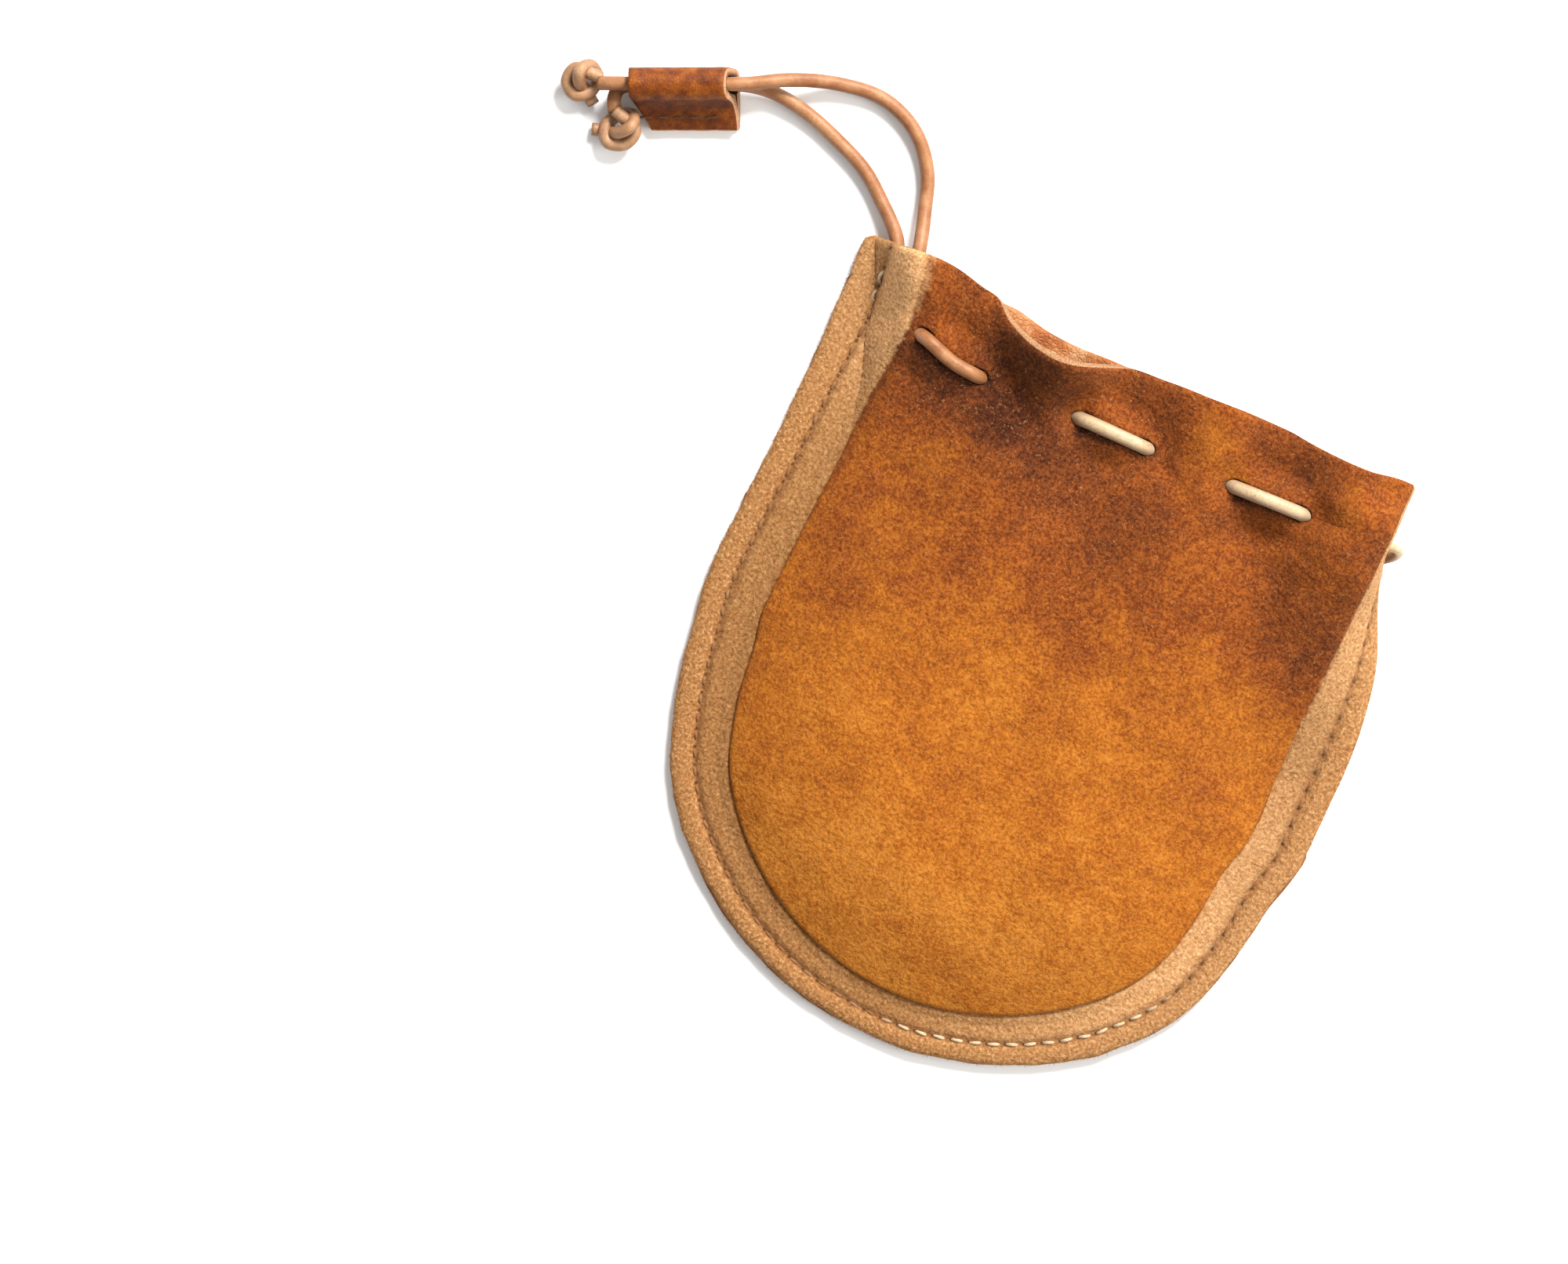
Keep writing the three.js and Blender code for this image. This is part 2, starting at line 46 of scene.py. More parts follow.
# Sizes in millimetres, as the solids have them but for the cord, which is drawn as thin as the
# photograph shows it. X runs along the mouth, Y towards it, Z up.
PANEL_WIDTH = 101.4
SIDE_LENGTH = 58.0
LEATHER = 1.5
MARGIN_LEATHER = 1.0
BAND_WIDTH = 9.7
SKIVE_STEP = 0.6
SEAM_ALLOWANCE = 4.2
SEAT_REACH = 2.5
SEAT_RISE = 2.2
LAYER_GAP = 0.3
PUFF_HEIGHT = 7.1
PUFF_LENGTH = 26.0
PUFF_FULLNESS = 2.2
GATHER_DEPTH = 1.6
GATHER_PITCH = 26.9
GATHER_INSET = 8.0
MOUTH_FLARE = 6.5
FLARE_CURL = 1.4
FOLD_RADIUS = 2.5
FOLD_SETBACK = 2.8
FOLD_TUCK = math.radians(40)
CORD_DIAMETER = 2.2
CORD_CLEARANCE = 0.25
WRAP_HALF_LENGTH = 3.5
WRAP_FADE = 7.0
RAISE_HALF_LENGTH = 5.3
RAISE_FADE = 5.7
RAISE_INSET = 6.0
HALF = PANEL_WIDTH / 2
CENTRE_Y = -4.0
LACE_Y = 42.2
SOLID_CORD_DIAMETER = 2.5
CORD_RAISE = SOLID_CORD_DIAMETER + 2 * CORD_CLEARANCE
BEND_REACH = 26.0
FLARE_MIDDLE = -0.33
FLARE_REACH = 0.25
LIP = 0.2
OPEN_EDGE = 0.78
STITCH_PITCH = 3.0
STITCH_RADIUS = 0.27
HOLE_RADIUS = 1.3
BORDER_GRID = 11.4
CORD_SIDES = 18

# at, share
OUTLINE = [
    (0.0, 1.0), (0.3, 0.99), (0.55, 0.988), (0.8, 1.0), (1.0, 1.0), (1.05, 0.985),
    (1.13, 1.003), (1.2, 1.028), (1.28, 1.035), (1.5, 1.043), (1.64, 1.052), (1.74, 1.057),
    (1.81, 1.047), (1.88, 1.007), (1.94, 0.982), (2.0, 1.0), (3.0, 1.0),
]
# across, front, back
MOUTH = [
    (-1.0, 0.996, 0.988), (-0.973, 1.012, 1.0), (-0.89, 1.013, 1.005), (-0.81, 1.019, 1.005),
    (-0.72, 1.019, 1.0),
    (-0.61, 1.003, 0.99), (-0.55, 0.993, 0.99), (-0.48, 0.953, 0.99), (-0.38, 0.922, 0.975),
    (-0.28, 0.921, 0.971), (-0.12, 0.972, 0.975), (0.0, 0.981, 0.972), (0.2, 0.99, 0.975),
    (0.4, 1.0, 0.985), (0.55, 0.991, 0.98), (0.66, 0.988, 0.98), (0.74, 1.003, 0.985),
    (0.8, 1.008, 0.988), (1.0, 1.009, 0.99),
]
# along, puff, tilt, opening, rise, shoulder
LENGTHWISE = [
    (-0.1, 1.0, 0, 1.0, 1.0, 1.0), (0.16, 1.0, 0, 1.0, 1.0, 1.0),
    (0.44, 1.0, 29, 1.0, 0.95, 0.8), (0.52, 0.99, 38, 0.95, 0.85, 0.7),
    (0.63, 0.96, 55, 0.8, 0.7, 0.62), (0.76, 0.88, 77, 0.56, 0.45, 0.57),
    (0.83, 0.85, 90, 0.5, 0.34, 0.56), (0.93, 0.83, 90, 0.36, 0.3, 0.56),
    (1.02, 0.82, 90, 0.2, 0.29, 0.58),
]
# front middle, back middle of each outside stretch of the cord, as shares of half the width
DASHES = [(-0.614, -0.614), (-0.061, -0.061), (0.444, 0.402)]
# at along the outline: width of the pale band, and inset of the seam, in millimetres
BORDER = [
    (0.0, 9.9, 4.9), (0.14, 11.5, 5.4), (0.3, 11.3, 4.9), (0.5, 10.6, 4.3), (1.0, 10.2, 3.9),
    (1.25, 9.0, 3.6), (1.5, 7.6, 3.1), (1.7, 8.3, 3.3), (2.0, 9.3, 3.9), (2.3, 9.7, 4.2),
    (3.0, 9.7, 4.2),
]

# at along the outline, how much the inner half of the band is painted paler as painted light on its
# slopes, past 1 at the corner
BAND_PAINTED_LIGHT = [
    (0.0, 1.7), (0.12, 1.5), (0.3, 0.8), (0.5, 0.2), (0.8, 0.0), (1.5, 0.0), (1.65, 0.45),
    (1.82, 1.0), (2.05, 0.6), (2.3, 0.4), (2.5, 0.8), (3.0, 1.0),
]

# from x, y to x, y: width on its left, width on its right, height at its start and at its end
FOLDS = [
    (-16.5, 56.0, -10.3, 42.0, 5.0, 3.2, 0.6, 1.5),
    (-10.3, 42.0, -9.5, 33.0, 4.5, 4.0, 1.5, 0.0),
    (-26.0, 54.0, -20.0, 44.0, 3.5, 3.5, -0.9, -1.1),
    (-20.0, 44.0, -14.0, 37.0, 3.2, 3.4, -1.1, -0.4),
    (11.5, 54.0, 14.4, 42.8, 4.5, 2.6, 0.5, 1.3),
    (14.4, 42.8, 13.0, 34.0, 4.5, 3.5, 1.3, 0.0),
    (23.5, 55.0, 22.5, 45.0, 4.5, 4.0, -0.5, -1.0),
    (-1.5, 54.0, -2.0, 45.5, 4.5, 4.0, -0.3, -0.8),
    (31.5, 43.5, 28.5, 33.0, 2.6, 3.6, -0.7, -0.5),
    (28.5, 33.0, 31.0, 20.0, 4.5, 4.5, -0.5, 0.0),
    (34.5, 55.0, 36.0, 45.0, 2.4, 2.4, 0.35, 0.45),
    (-33.5, 56.0, -32.0, 46.0, 3.0, 3.0, 0.1, -0.7),
    (3.8, 42.5, 7.5, 35.0, 2.4, 3.0, -0.9, -0.1),
    (-38.0, 42.0, -36.5, 33.0, 2.4, 3.0, -0.5, 0.0),
    (30.0, 46.5, 39.0, 48.5, 1.1, 1.1, 0.25, 0.3),
    (31.0, 43.4, 39.0, 44.6, 1.0, 1.0, -0.4, -0.3),
    (31.0, 41.0, 38.0, 40.6, 1.1, 1.3, 0.35, 0.2),
    (-14.0, 44.8, -9.0, 43.4, 1.2, 1.3, 0.2, 0.5),
    (10.0, 47.0, 16.0, 44.0, 1.3, 1.3, 0.1, 0.5),
    (5.0, 41.0, 10.0, 38.5, 1.2, 1.2, -0.4, -0.1),
    (29.0, 38.5, 36.0, 36.5, 1.2, 1.4, -0.3, -0.2),
    (-22.0, 41.0, -17.0, 38.5, 1.2, 1.2, 0.3, 0.1),
]

# spots painted darker or lighter on the suede, among them painted shade and painted light of the
# folds, puckers and
# lacing holes: middle x, y, reach x, y in millimetres, and how much darker
TONE_AND_SHADE_SPOTS = [
    (-22.0, 46.0, 6.0, 7.0, 0.34), (-17.0, 36.0, 9.0, 4.0, 0.36), (-31.0, 37.0, 5.0, 4.0, 0.16),
    (10.0, 49.0, 4.5, 5.0, -0.36), (20.0, 30.0, 8.0, 7.0, -0.12), (-31.0, 25.0, 7.0, 7.0, -0.20),
    (33.0, 40.0, 6.0, 7.0, -0.06), (-2.0, 24.0, 9.0, 7.0, 0.08), (27.0, 12.0, 10.0, 6.0, -0.12),
    (37.0, 48.0, 5.0, 6.0, -0.16), (1.5, 48.0, 6.0, 3.0, -0.06), (18.0, 48.0, 6.0, 3.0, -0.06),
    (-36.0, 50.0, 4.0, 5.0, -0.10), (9.0, 40.0, 3.5, 3.0, -0.14), (-10.5, 44.5, 2.6, 1.8, -0.22),
    (15.5, 44.5, 2.6, 1.8, -0.26), (2.6, 42.0, 1.5, 1.5, 0.5), (28.3, 42.9, 1.5, 1.5, 0.5),
    (-25.0, 41.0, 1.5, 1.5, 0.4), (0.0, -4.0, 30.0, 5.0, 0.04), (33.0, 45.0, 2.6, 2.8, -0.10),
    (-20.0, 44.0, 1.5, 1.5, -0.10), (-4.0, 39.0, 4.5, 2.2, -0.06), (21.5, 39.2, 4.5, 2.2, -0.06),
    (34.5, 37.0, 3.0, 4.0, -0.12), (-6.0, 2.0, 10.0, 8.0, -0.08), (36.0, 23.0, 4.0, 6.0, 0.20),
    (-33.0, 3.0, 5.0, 7.0, 0.12), (14.0, 12.0, 9.0, 6.0, 0.08), (-18.0, 12.0, 6.0, 5.0, 0.08),
    (-6.0, 31.0, 9.0, 4.0, 0.06), (-27.0, 30.0, 5.0, 5.0, -0.08), (12.0, 33.0, 7.0, 3.0, 0.05),
]

# x, y, z from knot to knot. A crossing is the point before the cord goes through a panel.
CORD_ROUTE = [
    (-97.4, 57.85, 4.3), (-96.6, 58.2, 4.8), (-95.5, 58.65, 5.2), (-93.8, 59.4, 5.4),
    (-88.0, 62.1, 5.4), (-81.5, 65.1, 5.4), (-77.0, 67.2, 5.4), (-71.5, 70.5, 4.3),
    (-64.5, 73.3, 2.1), (-57.0, 74.2, 1.35),
    (-50.5, 71.7, 1.35), (-46.2, 66.8, 1.35), (-44.2, 61.5, 1.9), (-42.4, 55.6, 3.8),
    (-41.2, 49.5, 5.0), (-38.4, 44.4, 6.1), (-35.0, 43.1, 10.2), (-30.4, 41.7, 9.9),
    (-27.3, 41.4, 10.3), (-23.9, 41.5, 6.9), (-11.2, 42.1, 7.0), (-7.8, 42.2, 10.3),
    (0.5, 42.3, 10.4), (3.9, 42.4, 6.9), (14.2, 42.6, 6.9), (17.7, 42.7, 10.5),
    (26.1, 43.1, 11.9), (29.5, 43.3, 8.9), (38.4, 44.1, 8.3), (43.3, 44.6, 7.2),
    (43.7, 44.1, 4.8), (41.4, 42.4, 1.35), (35.2, 40.5, 1.3), (31.8, 40.5, 5.1),
    (27.7, 40.5, 4.7), (24.3, 40.5, 1.3), (16.5, 40.5, 1.3), (13.1, 40.5, 4.7),
    (5.0, 40.5, 4.3), (1.6, 40.5, 1.3), (-7.8, 40.5, 1.3), (-11.2, 40.5, 4.7),
    (-23.2, 40.5, 4.8), (-26.6, 40.5, 1.3), (-35.7, 40.5, 1.3), (-39.1, 40.8, 4.5),
    (-42.8, 45.5, 3.0), (-44.6, 50.5, 2.8), (-45.8, 55.0, 2.5), (-51.0, 60.0, 1.4),
    (-55.2, 63.1, 1.35), (-60.4, 65.3, 1.35), (-66.5, 67.2, 1.5), (-72.5, 67.9, 2.1),
    (-77.2, 67.1, 2.6), (-88.0, 62.1, 2.6), (-93.3, 59.6, 2.6), (-94.5, 58.7, 2.5),
    (-94.7, 57.0, 2.6), (-93.6, 54.9, 2.9),
]
FRONT_CROSSINGS = [15, 18, 20, 22, 24, 26, 28]
BACK_CROSSINGS = [32, 34, 36, 38, 40, 42, 44]
STUB_POINT = 29
FRONT_DASHES = [(16, 18), (21, 22), (25, 26)]

# An overhand knot about its own middle
KNOT_ROUTE = [
    (2.7, 0.4, 1.1), (1.1, 1.1, 1.2), (-1.3, 1.9, 0.6), (-2.6, 0.0, 0.0), (-1.4, -2.0, -0.1),
    (0.9, -1.6, -0.4), (2.0, 0.5, -1.2), (1.2, 2.3, -0.2), (-0.5, 1.6, 2.3), (-0.7, -0.2, 1.2),
    (0.4, -1.6, -1.4), (1.4, -3.4, -1.2),
]
KNOT_DIAMETER = 2.0
UPPER_KNOT = ((-99.9, 57.2, 2.6), math.radians(25))
LOWER_KNOT = ((-92.0, 52.9, 2.5), math.radians(135))

SLIDER_LENGTH = 17.1
SLIDER_RIGHT_END = (-77.9, 66.75, 0.0)
SLIDER_HEADING = math.radians(25)
DENT_MIDDLE = 8.5
SLEEVE_RADIUS = 2.6
BORE_RADIUS = 1.5
SLEEVE_LOW = 2.6
SLEEVE_HIGH = 5.35


def mix(start, end, share):
    return start + (end - start) * share


def clamp(value):
    return min(1.0, max(0.0, value))


def smooth(value):
    t = clamp(value)
    return t * t * (3 - 2 * t)


def bump_of(x, reach):
    return 0.5 + 0.5 * math.cos(math.pi * x / reach) if abs(x) < reach else 0.0


def plateau(x, flat, fall):
    return 1 - smooth((abs(x) - flat) / fall)


def reader(rows, column):
    """A smooth reading of one column of a table between its rows."""
    keys = [row[0] for row in rows]
    values = [row[column] for row in rows]
    last = len(rows) - 1
    slopes = []
    for i in range(last + 1):
        low, high = max(0, i - 1), min(last, i + 1)
        slopes.append((values[high] - values[low]) / (keys[high] - keys[low]))

    def value(at):
        row = min(last - 1, max(0, bisect_right(keys, at) - 1))
        span = keys[row + 1] - keys[row]
        t = clamp((at - keys[row]) / span)
        rate = (values[row + 1] - values[row]) / span
        bend = (slopes[row] - rate) * (1 - t) - (slopes[row + 1] - rate) * t
        return mix(values[row], values[row + 1], t) + t * (1 - t) * span * bend

    return value


outline_share = reader(OUTLINE, 1)
mouth_line = {"front": reader(MOUTH, 1), "back": reader(MOUTH, 2)}
puff_at = reader(LENGTHWISE, 1)
tilt_at = reader(LENGTHWISE, 2)
opening_at = reader(LENGTHWISE, 3)
rise_at = reader(LENGTHWISE, 4)
shoulder_at = reader(LENGTHWISE, 5)
light_at = reader(BAND_PAINTED_LIGHT, 1)
band_at = reader(BORDER, 1)
seam_at = reader(BORDER, 2)


def ragged(station, seed):
    """The small waves of a hand-cut edge, in millimetres."""
    at = Vector((station * 60.0, seed, 0.0))
    return 0.30 * noise.noise(at / 5.0) + 0.22 * noise.noise(at / 1.3)


def place(station, inset, layer):
    """Side, whether in the half round, x, y and share up the side of a point of a panel."""
    reach = HALF * outline_share(station)
    wave = ragged(station, 3.7 if layer == "front" else 8.1) * (1 - clamp(inset / 6.0))
    if 1 <= station <= 2:
        angle = (station - 1.5) * math.pi
        radius = max(0.0, reach - inset + wave)
        side = -1 if station < 1.5 else 1
        return side, True, radius * math.sin(angle), CENTRE_Y - radius * math.cos(angle), 0.0
    side = -1 if station < 1 else 1
    x = side * max(0.0, reach - inset + wave)
    share = 1 - station if side < 0 else station - 2
    y = CENTRE_Y + SIDE_LENGTH * share * mouth_line[layer](x / HALF)
    return side, False, x, y, share


def seat(inset):
    """How far the face rises where the thinned border meets the full thickness."""
    return (LEATHER - MARGIN_LEATHER) * smooth((inset - BAND_WIDTH + SEAT_REACH) / SEAT_RISE)


def band_profile(y, inset):
    """The right border's section at y, where it folds under towards the mouth."""
    tilt = math.radians(max(0.0, tilt_at((y - CENTRE_Y) / SIDE_LENGTH)))
    turned = tilt / (math.pi / 2)
    start = BAND_WIDTH + FOLD_SETBACK * smooth(tilt / (math.pi / 3))
    tuck = FOLD_TUCK * turned * turned
    arc = min(FOLD_RADIUS * tilt, start - SEAM_ALLOWANCE)

    def walk(length):
        bent = min(length, arc)
        angle = bent / FOLD_RADIUS
        wall = min(max(0.0, length - arc), start - SEAM_ALLOWANCE - arc)
        edge = max(0.0, length - (start - SEAM_ALLOWANCE))
        swing = 1 if turned > 0 else 0
        out = FOLD_RADIUS * math.sin(angle) if swing else bent
        return (
            out + wall * math.cos(tilt) + edge * math.cos(tilt + tuck),
            swing * FOLD_RADIUS * (1 - math.cos(angle)) + wall * math.sin(tilt)
            + edge * math.sin(tilt + tuck),
            tilt + tuck if edge > 0 else angle if bent < arc else tilt,
        )

    lowest = math.cos(tilt + tuck)
    under = (MARGIN_LEATHER + LAYER_GAP) * lowest if lowest > 0 else -MARGIN_LEATHER * lowest
    beside = plateau(y - LACE_Y, WRAP_HALF_LENGTH, WRAP_FADE)
    wrap = turned * beside * (CORD_RAISE + CORD_CLEARANCE)
    crest = walk(start)[1] + under + wrap
    return start, turned, crest, walk(max(0.0, start - inset))


def folded(x, y):
    """The height of the folds that the cord gathers round the mouth, in millimetres."""
    height = 1.9 * smooth((y - 43.5) / 9.0)
    for x0, y0, x1, y1, left, right, low, high in FOLDS:
        if y > 20 - abs(y1 - y0) and min(abs(x - x0), abs(x - x1)) < 30:
            run = Vector((x1 - x0, y1 - y0))
            off = Vector((x - x0, y - y0))
            share = off.dot(run) / run.length_squared
            past = max(0.0, -share, share - 1) * run.length
            aside = (run.x * off.y - run.y * off.x) / run.length
            width = right if aside > 0 else left
            near = (aside / width) ** 2 + (past / 3.5) ** 2
            if near < 9:
                height += mix(low, high, clamp(share)) * math.exp(-near)
    return height


def worn(x, y):
    """Slow unevenness of handled leather, in millimetres."""
    at = Vector((x, y, 0.0))
    return 0.35 * noise.noise(at / 13.0) + 0.16 * noise.noise(at / 5.0 + Vector((9.0, 0, 0)))


def plain_inset(station, inset):
    """The inset that puts the step of a band of the plain width where BORDER has it."""
    border = band_at(station)
    return inset * BAND_WIDTH / border if inset < border else inset - border + BAND_WIDTH


def front_face(station, inset):
    """A point of the front panel's inner face, and its plain inset."""
    side, is_round, x, y, share = place(station, inset, "front")
    along = (y - CENTRE_Y) / SIDE_LENGTH
    inset = plain_inset(station, inset)
    puff = PUFF_HEIGHT * puff_at(along)
    top = LEATHER + LAYER_GAP + puff
    start, rise, turned = BAND_WIDTH, PUFF_LENGTH, 0.0
    base = MARGIN_LEATHER + LAYER_GAP
    if not is_round and side > 0:
        start, turned, crest, step = band_profile(y, inset)
        base = crest
        rise = PUFF_LENGTH * shoulder_at(along)
        if inset < start:
            height = crest - step[1] + seat(inset) * (1 - turned)
            return (HALF - start + step[0], y, height), inset
    elif not is_round:
        start = BAND_WIDTH * opening_at(along)
        rise = PUFF_LENGTH * rise_at(along)
    part = clamp((inset - start) / rise)
    dome = mix(1 - (1 - part) ** PUFF_FULLNESS, smooth(part), clamp(1.5 * turned))
    inside = smooth((inset - start) / GATHER_INSET)
    gathered = smooth((along - 0.25) / 0.5) * inside
    wave = -math.cos(2 * math.pi * (x - DASHES[0][0] * HALF) / GATHER_PITCH)
    lip = 0.0 if is_round else clamp(1 - (1 - share) / LIP) ** FLARE_CURL
    flare = MOUTH_FLARE * lip * bump_of(x - FLARE_MIDDLE * HALF, FLARE_REACH * HALF)
    base += seat(inset) * (1 - turned)
    height = mix(base, top, dome) + GATHER_DEPTH * gathered * wave + flare
    edge = smooth((inset - start) / 5.0)
    height += (worn(x, y) + folded(x, y) * (1 - smooth((x - 36) / 6))) * edge
    return (x, y, height), inset


def back_face(station, inset):
    """A point of the back panel's inner face, and its plain inset."""
    side, is_round, x, y, _ = place(station, inset, "back")
    along = (y - CENTRE_Y) / SIDE_LENGTH
    inset = plain_inset(station, inset)
    left = not is_round and side < 0
    raised = 0.0
    for dash in DASHES:
        raised = max(raised, plateau(x - dash[1] * HALF, RAISE_HALF_LENGTH, RAISE_FADE))
    edge = OPEN_EDGE * BAND_WIDTH if left else BAND_WIDTH
    lift = CORD_RAISE * raised * smooth((along - 0.5) / 0.24) * smooth((inset - edge) / RAISE_INSET)
    flat = MARGIN_LEATHER + seat(inset) + lift
    if left or is_round or inset > BEND_REACH:
        return (x, y, flat), inset
    start, turned, crest, step = band_profile(y, min(inset, SEAM_ALLOWANCE))
    edge_x = HALF - start + step[0] - LAYER_GAP * math.sin(step[2])
    edge_z = crest - step[1] - LAYER_GAP * math.cos(step[2])
    part = clamp((inset - SEAM_ALLOWANCE) / (BEND_REACH - SEAM_ALLOWANCE))
    bent = smooth(turned * 4)
    if part > 0:
        x = mix(x, mix(edge_x, HALF - BEND_REACH, part), bent)
        return (x, y, mix(flat, mix(edge_z, flat, smooth(part)), bent)), inset
    return (edge_x, y, edge_z), inset


def catmull(points, spacing):
    """Points a small step apart on a smooth curve through the given ones."""
    points = [Vector(point) for point in points]
    ends = [2 * points[0] - points[1]] + points + [2 * points[-1] - points[-2]]
    line = []
    for i in range(1, len(ends) - 2):
        p0, p1, p2, p3 = ends[i - 1:i + 3]
        d1, d2, d3 = ((b - a).length ** 0.5 for a, b in ((p0, p1), (p1, p2), (p2, p3)))
        t1 = (p1 - p0) / d1 - (p2 - p0) / (d1 + d2) + (p2 - p1) / d2
        t2 = (p2 - p1) / d2 - (p3 - p1) / (d2 + d3) + (p3 - p2) / d3
        t1, t2 = t1 * d2, t2 * d2
        steps = max(1, round((p2 - p1).length / spacing))
        for k in range(steps):
            t = k / steps
            line.append(
                (2 * t ** 3 - 3 * t ** 2 + 1) * p1 + (t ** 3 - 2 * t ** 2 + t) * t1
                + (3 * t ** 2 - 2 * t ** 3) * p2 + (t ** 3 - t ** 2) * t2
            )
    line.append(points[-1])
    return line


def relaxed(line, rounds, floor):
    """The line with its sharpest turns eased."""
    line = [point.copy() for point in line]
    for _ in range(rounds):
        eased = [line[0]]
        for before, here, after in zip(line, line[1:], line[2:]):
            eased.append(here.lerp((before + after) / 2, 0.5))
        line = eased + [line[-1]]
    for point in line:
        point.z = max(point.z, floor)
    return line


def new_object(name, vertices, faces, material_of=None):
    """A piece from millimetre points, at the origin, with its place in its mesh."""
    mesh = bpy.data.meshes.new(name)
    mesh.from_pydata([tuple(MM * c for c in point) for point in vertices], [], faces)
    piece = bpy.data.objects.new(name, mesh)
    bpy.context.scene.collection.objects.link(piece)
    mesh.polygons.foreach_set("use_smooth", [True] * len(faces))
    if material_of:
        mesh.polygons.foreach_set("material_index", material_of)
    mesh.update()
    return piece


def set_floats(piece, name, values):
    layer = piece.data.attributes.new(name, "FLOAT", "POINT")
    layer.data.foreach_set("value", values)


def sweep(line, radius_at, sides, start_ring=0):
    """A tube of many-sided rings along a line, closed at both ends."""
    tangents = []
    for i in range(len(line)):
        tangents.append((line[min(i + 1, len(line) - 1)] - line[max(i - 1, 0)]).normalized())
    across = tangents[0].orthogonal().normalized()
    vertices, faces = [], []
    for i, (point, tangent) in enumerate(zip(line, tangents)):
        across = (across - across.dot(tangent) * tangent).normalized()
        beside = tangent.cross(across)
        for k in range(sides):
            angle = 2 * math.pi * k / sides
            radius = radius_at(i, angle)
            vertices.append(point + radius * (math.cos(angle) * across + math.sin(angle) * beside))
        if i:
            base = start_ring + (i - 1) * sides
            for k in range(sides):
                other = (k + 1) % sides
                faces.append((base + k, base + other, base + sides + other, base + sides + k))
    last = start_ring + (len(line) - 1) * sides
    faces.append(tuple(start_ring + k for k in reversed(range(sides))))
    faces.append(tuple(last + k for k in range(sides)))
    return vertices, faces


# The camera looks straight down, turned so that the mouth lies as in the photograph.
TURN = math.radians(25)
VIEW_WIDTH = 0.240
CAMERA_HEIGHT = 1.25
camera_data = bpy.data.cameras.new("camera")
camera_data.sensor_width = 36
camera_data.lens = 36 * (CAMERA_HEIGHT - 0.005) / VIEW_WIDTH
camera_data.clip_end = 10
camera = bpy.data.objects.new("camera", camera_data)
camera.location = (-0.0364, -0.0064, CAMERA_HEIGHT)
camera.rotation_euler = (0, 0, TURN)
bpy.context.scene.collection.objects.link(camera)
bpy.context.scene.camera = camera


# The drawstring, on one smooth line from knot to knot
cord_line = relaxed(catmull(CORD_ROUTE, 0.45), 3, CORD_DIAMETER / 2 + 0.02)
# Where on that line the cord turns round the right corner, and shows as a thin pale stub
stub = min(
    range(len(cord_line)), key=lambda i: (cord_line[i] - Vector(CORD_ROUTE[STUB_POINT])).length
)


def cord_radius(i, angle):
    at = Vector((i * 0.07, math.cos(angle), math.sin(angle)))
    thin = 1 - 0.38 * math.exp(-((i - stub) / 11.0) ** 2)
    return thin * CORD_DIAMETER / 2 * (1 + 0.035 * noise.noise(at) + 0.02 * noise.noise(at * 4.0))


def flanks(line, points, sides):
    """For each point of a tube, how much painted shade its side takes: 0 along its top to 1 at its
    widest and below.
    """
    return [
        smooth(1.15 - (point.z - line[i // sides].z) / (CORD_DIAMETER / 2))
        for i, point in enumerate(points)
    ]


vertices, faces = sweep(cord_line, cord_radius, CORD_SIDES)
drawstring = new_object("drawstring_cord", vertices, faces)
# The stub is painted pale and its sides get no painted shade: a painted highlight.
at_stub = [
    math.exp(-((i - stub) / 12.0) ** 2) for i in range(len(cord_line)) for _ in range(CORD_SIDES)
]
set_floats(drawstring, "flank_shade", [
    flank_shade * (1 - near) for flank_shade, near in zip(flanks(cord_line, vertices, CORD_SIDES), at_stub)
])
# The cord is painted cream where it lies high over the front in the middle and at the right: a
# painted highlight.
cream = [smooth((point.x + 16) / 8) * smooth((point.z - 5) / 3) for point in cord_line]
set_floats(drawstring, "pale", [
    max(near, cream[i // CORD_SIDES]) for i, near in enumerate(at_stub)
])


def knot(name, centre, heading, flip, seed):
    """An overhand knot, mirrored and stretched by flip."""
    turn = Matrix.Translation(Vector(centre)) @ Matrix.Rotation(heading, 4, "Z")
    turn = turn @ Matrix.Diagonal((1.0, flip, 1.0, 1.0))
    line = catmull([turn @ Vector(point) for point in KNOT_ROUTE], 0.25)
    radius = KNOT_DIAMETER / 2

    def radius_at(i, angle):
        at = Vector((i * 0.08 + seed, math.cos(angle), math.sin(angle)))
        return radius * (1 + 0.05 * noise.noise(at) + 0.02 * noise.noise(at * 5.0))

    points, sides = sweep(line, radius_at, 16)
    piece = new_object(name, [Vector((p.x, p.y, max(p.z, 0.03))) for p in points], sides)
    set_floats(piece, "pale", [0.25] * len(points))
    set_floats(piece, "flank_shade", flanks(line, points, 16))
    return piece


knot_a = knot("knot_of_upper_end", *UPPER_KNOT, 1.0, 1.0)
knot_b = knot("knot_of_lower_end", *LOWER_KNOT, -1.15, 7.0)


# Rows of points up each side of a panel and round its bottom
SIDE_ROWS = 126
ROUND_ROWS = 236


def stations_of(side_rows, round_rows):
    side = [row / side_rows for row in range(side_rows)]
    return (
        side + [1 + row / round_rows for row in range(round_rows + 1)]
        + [3 - row for row in reversed(side)]
    )


# What each point of a panel tells its material: millimetres in from the border's inner edge, in
# from the seam and along the outline, how dark the suede is painted, with painted shade and light
# in it, and how much painted light the band takes
MARKS = ("border", "seam", "along", "tone", "light")


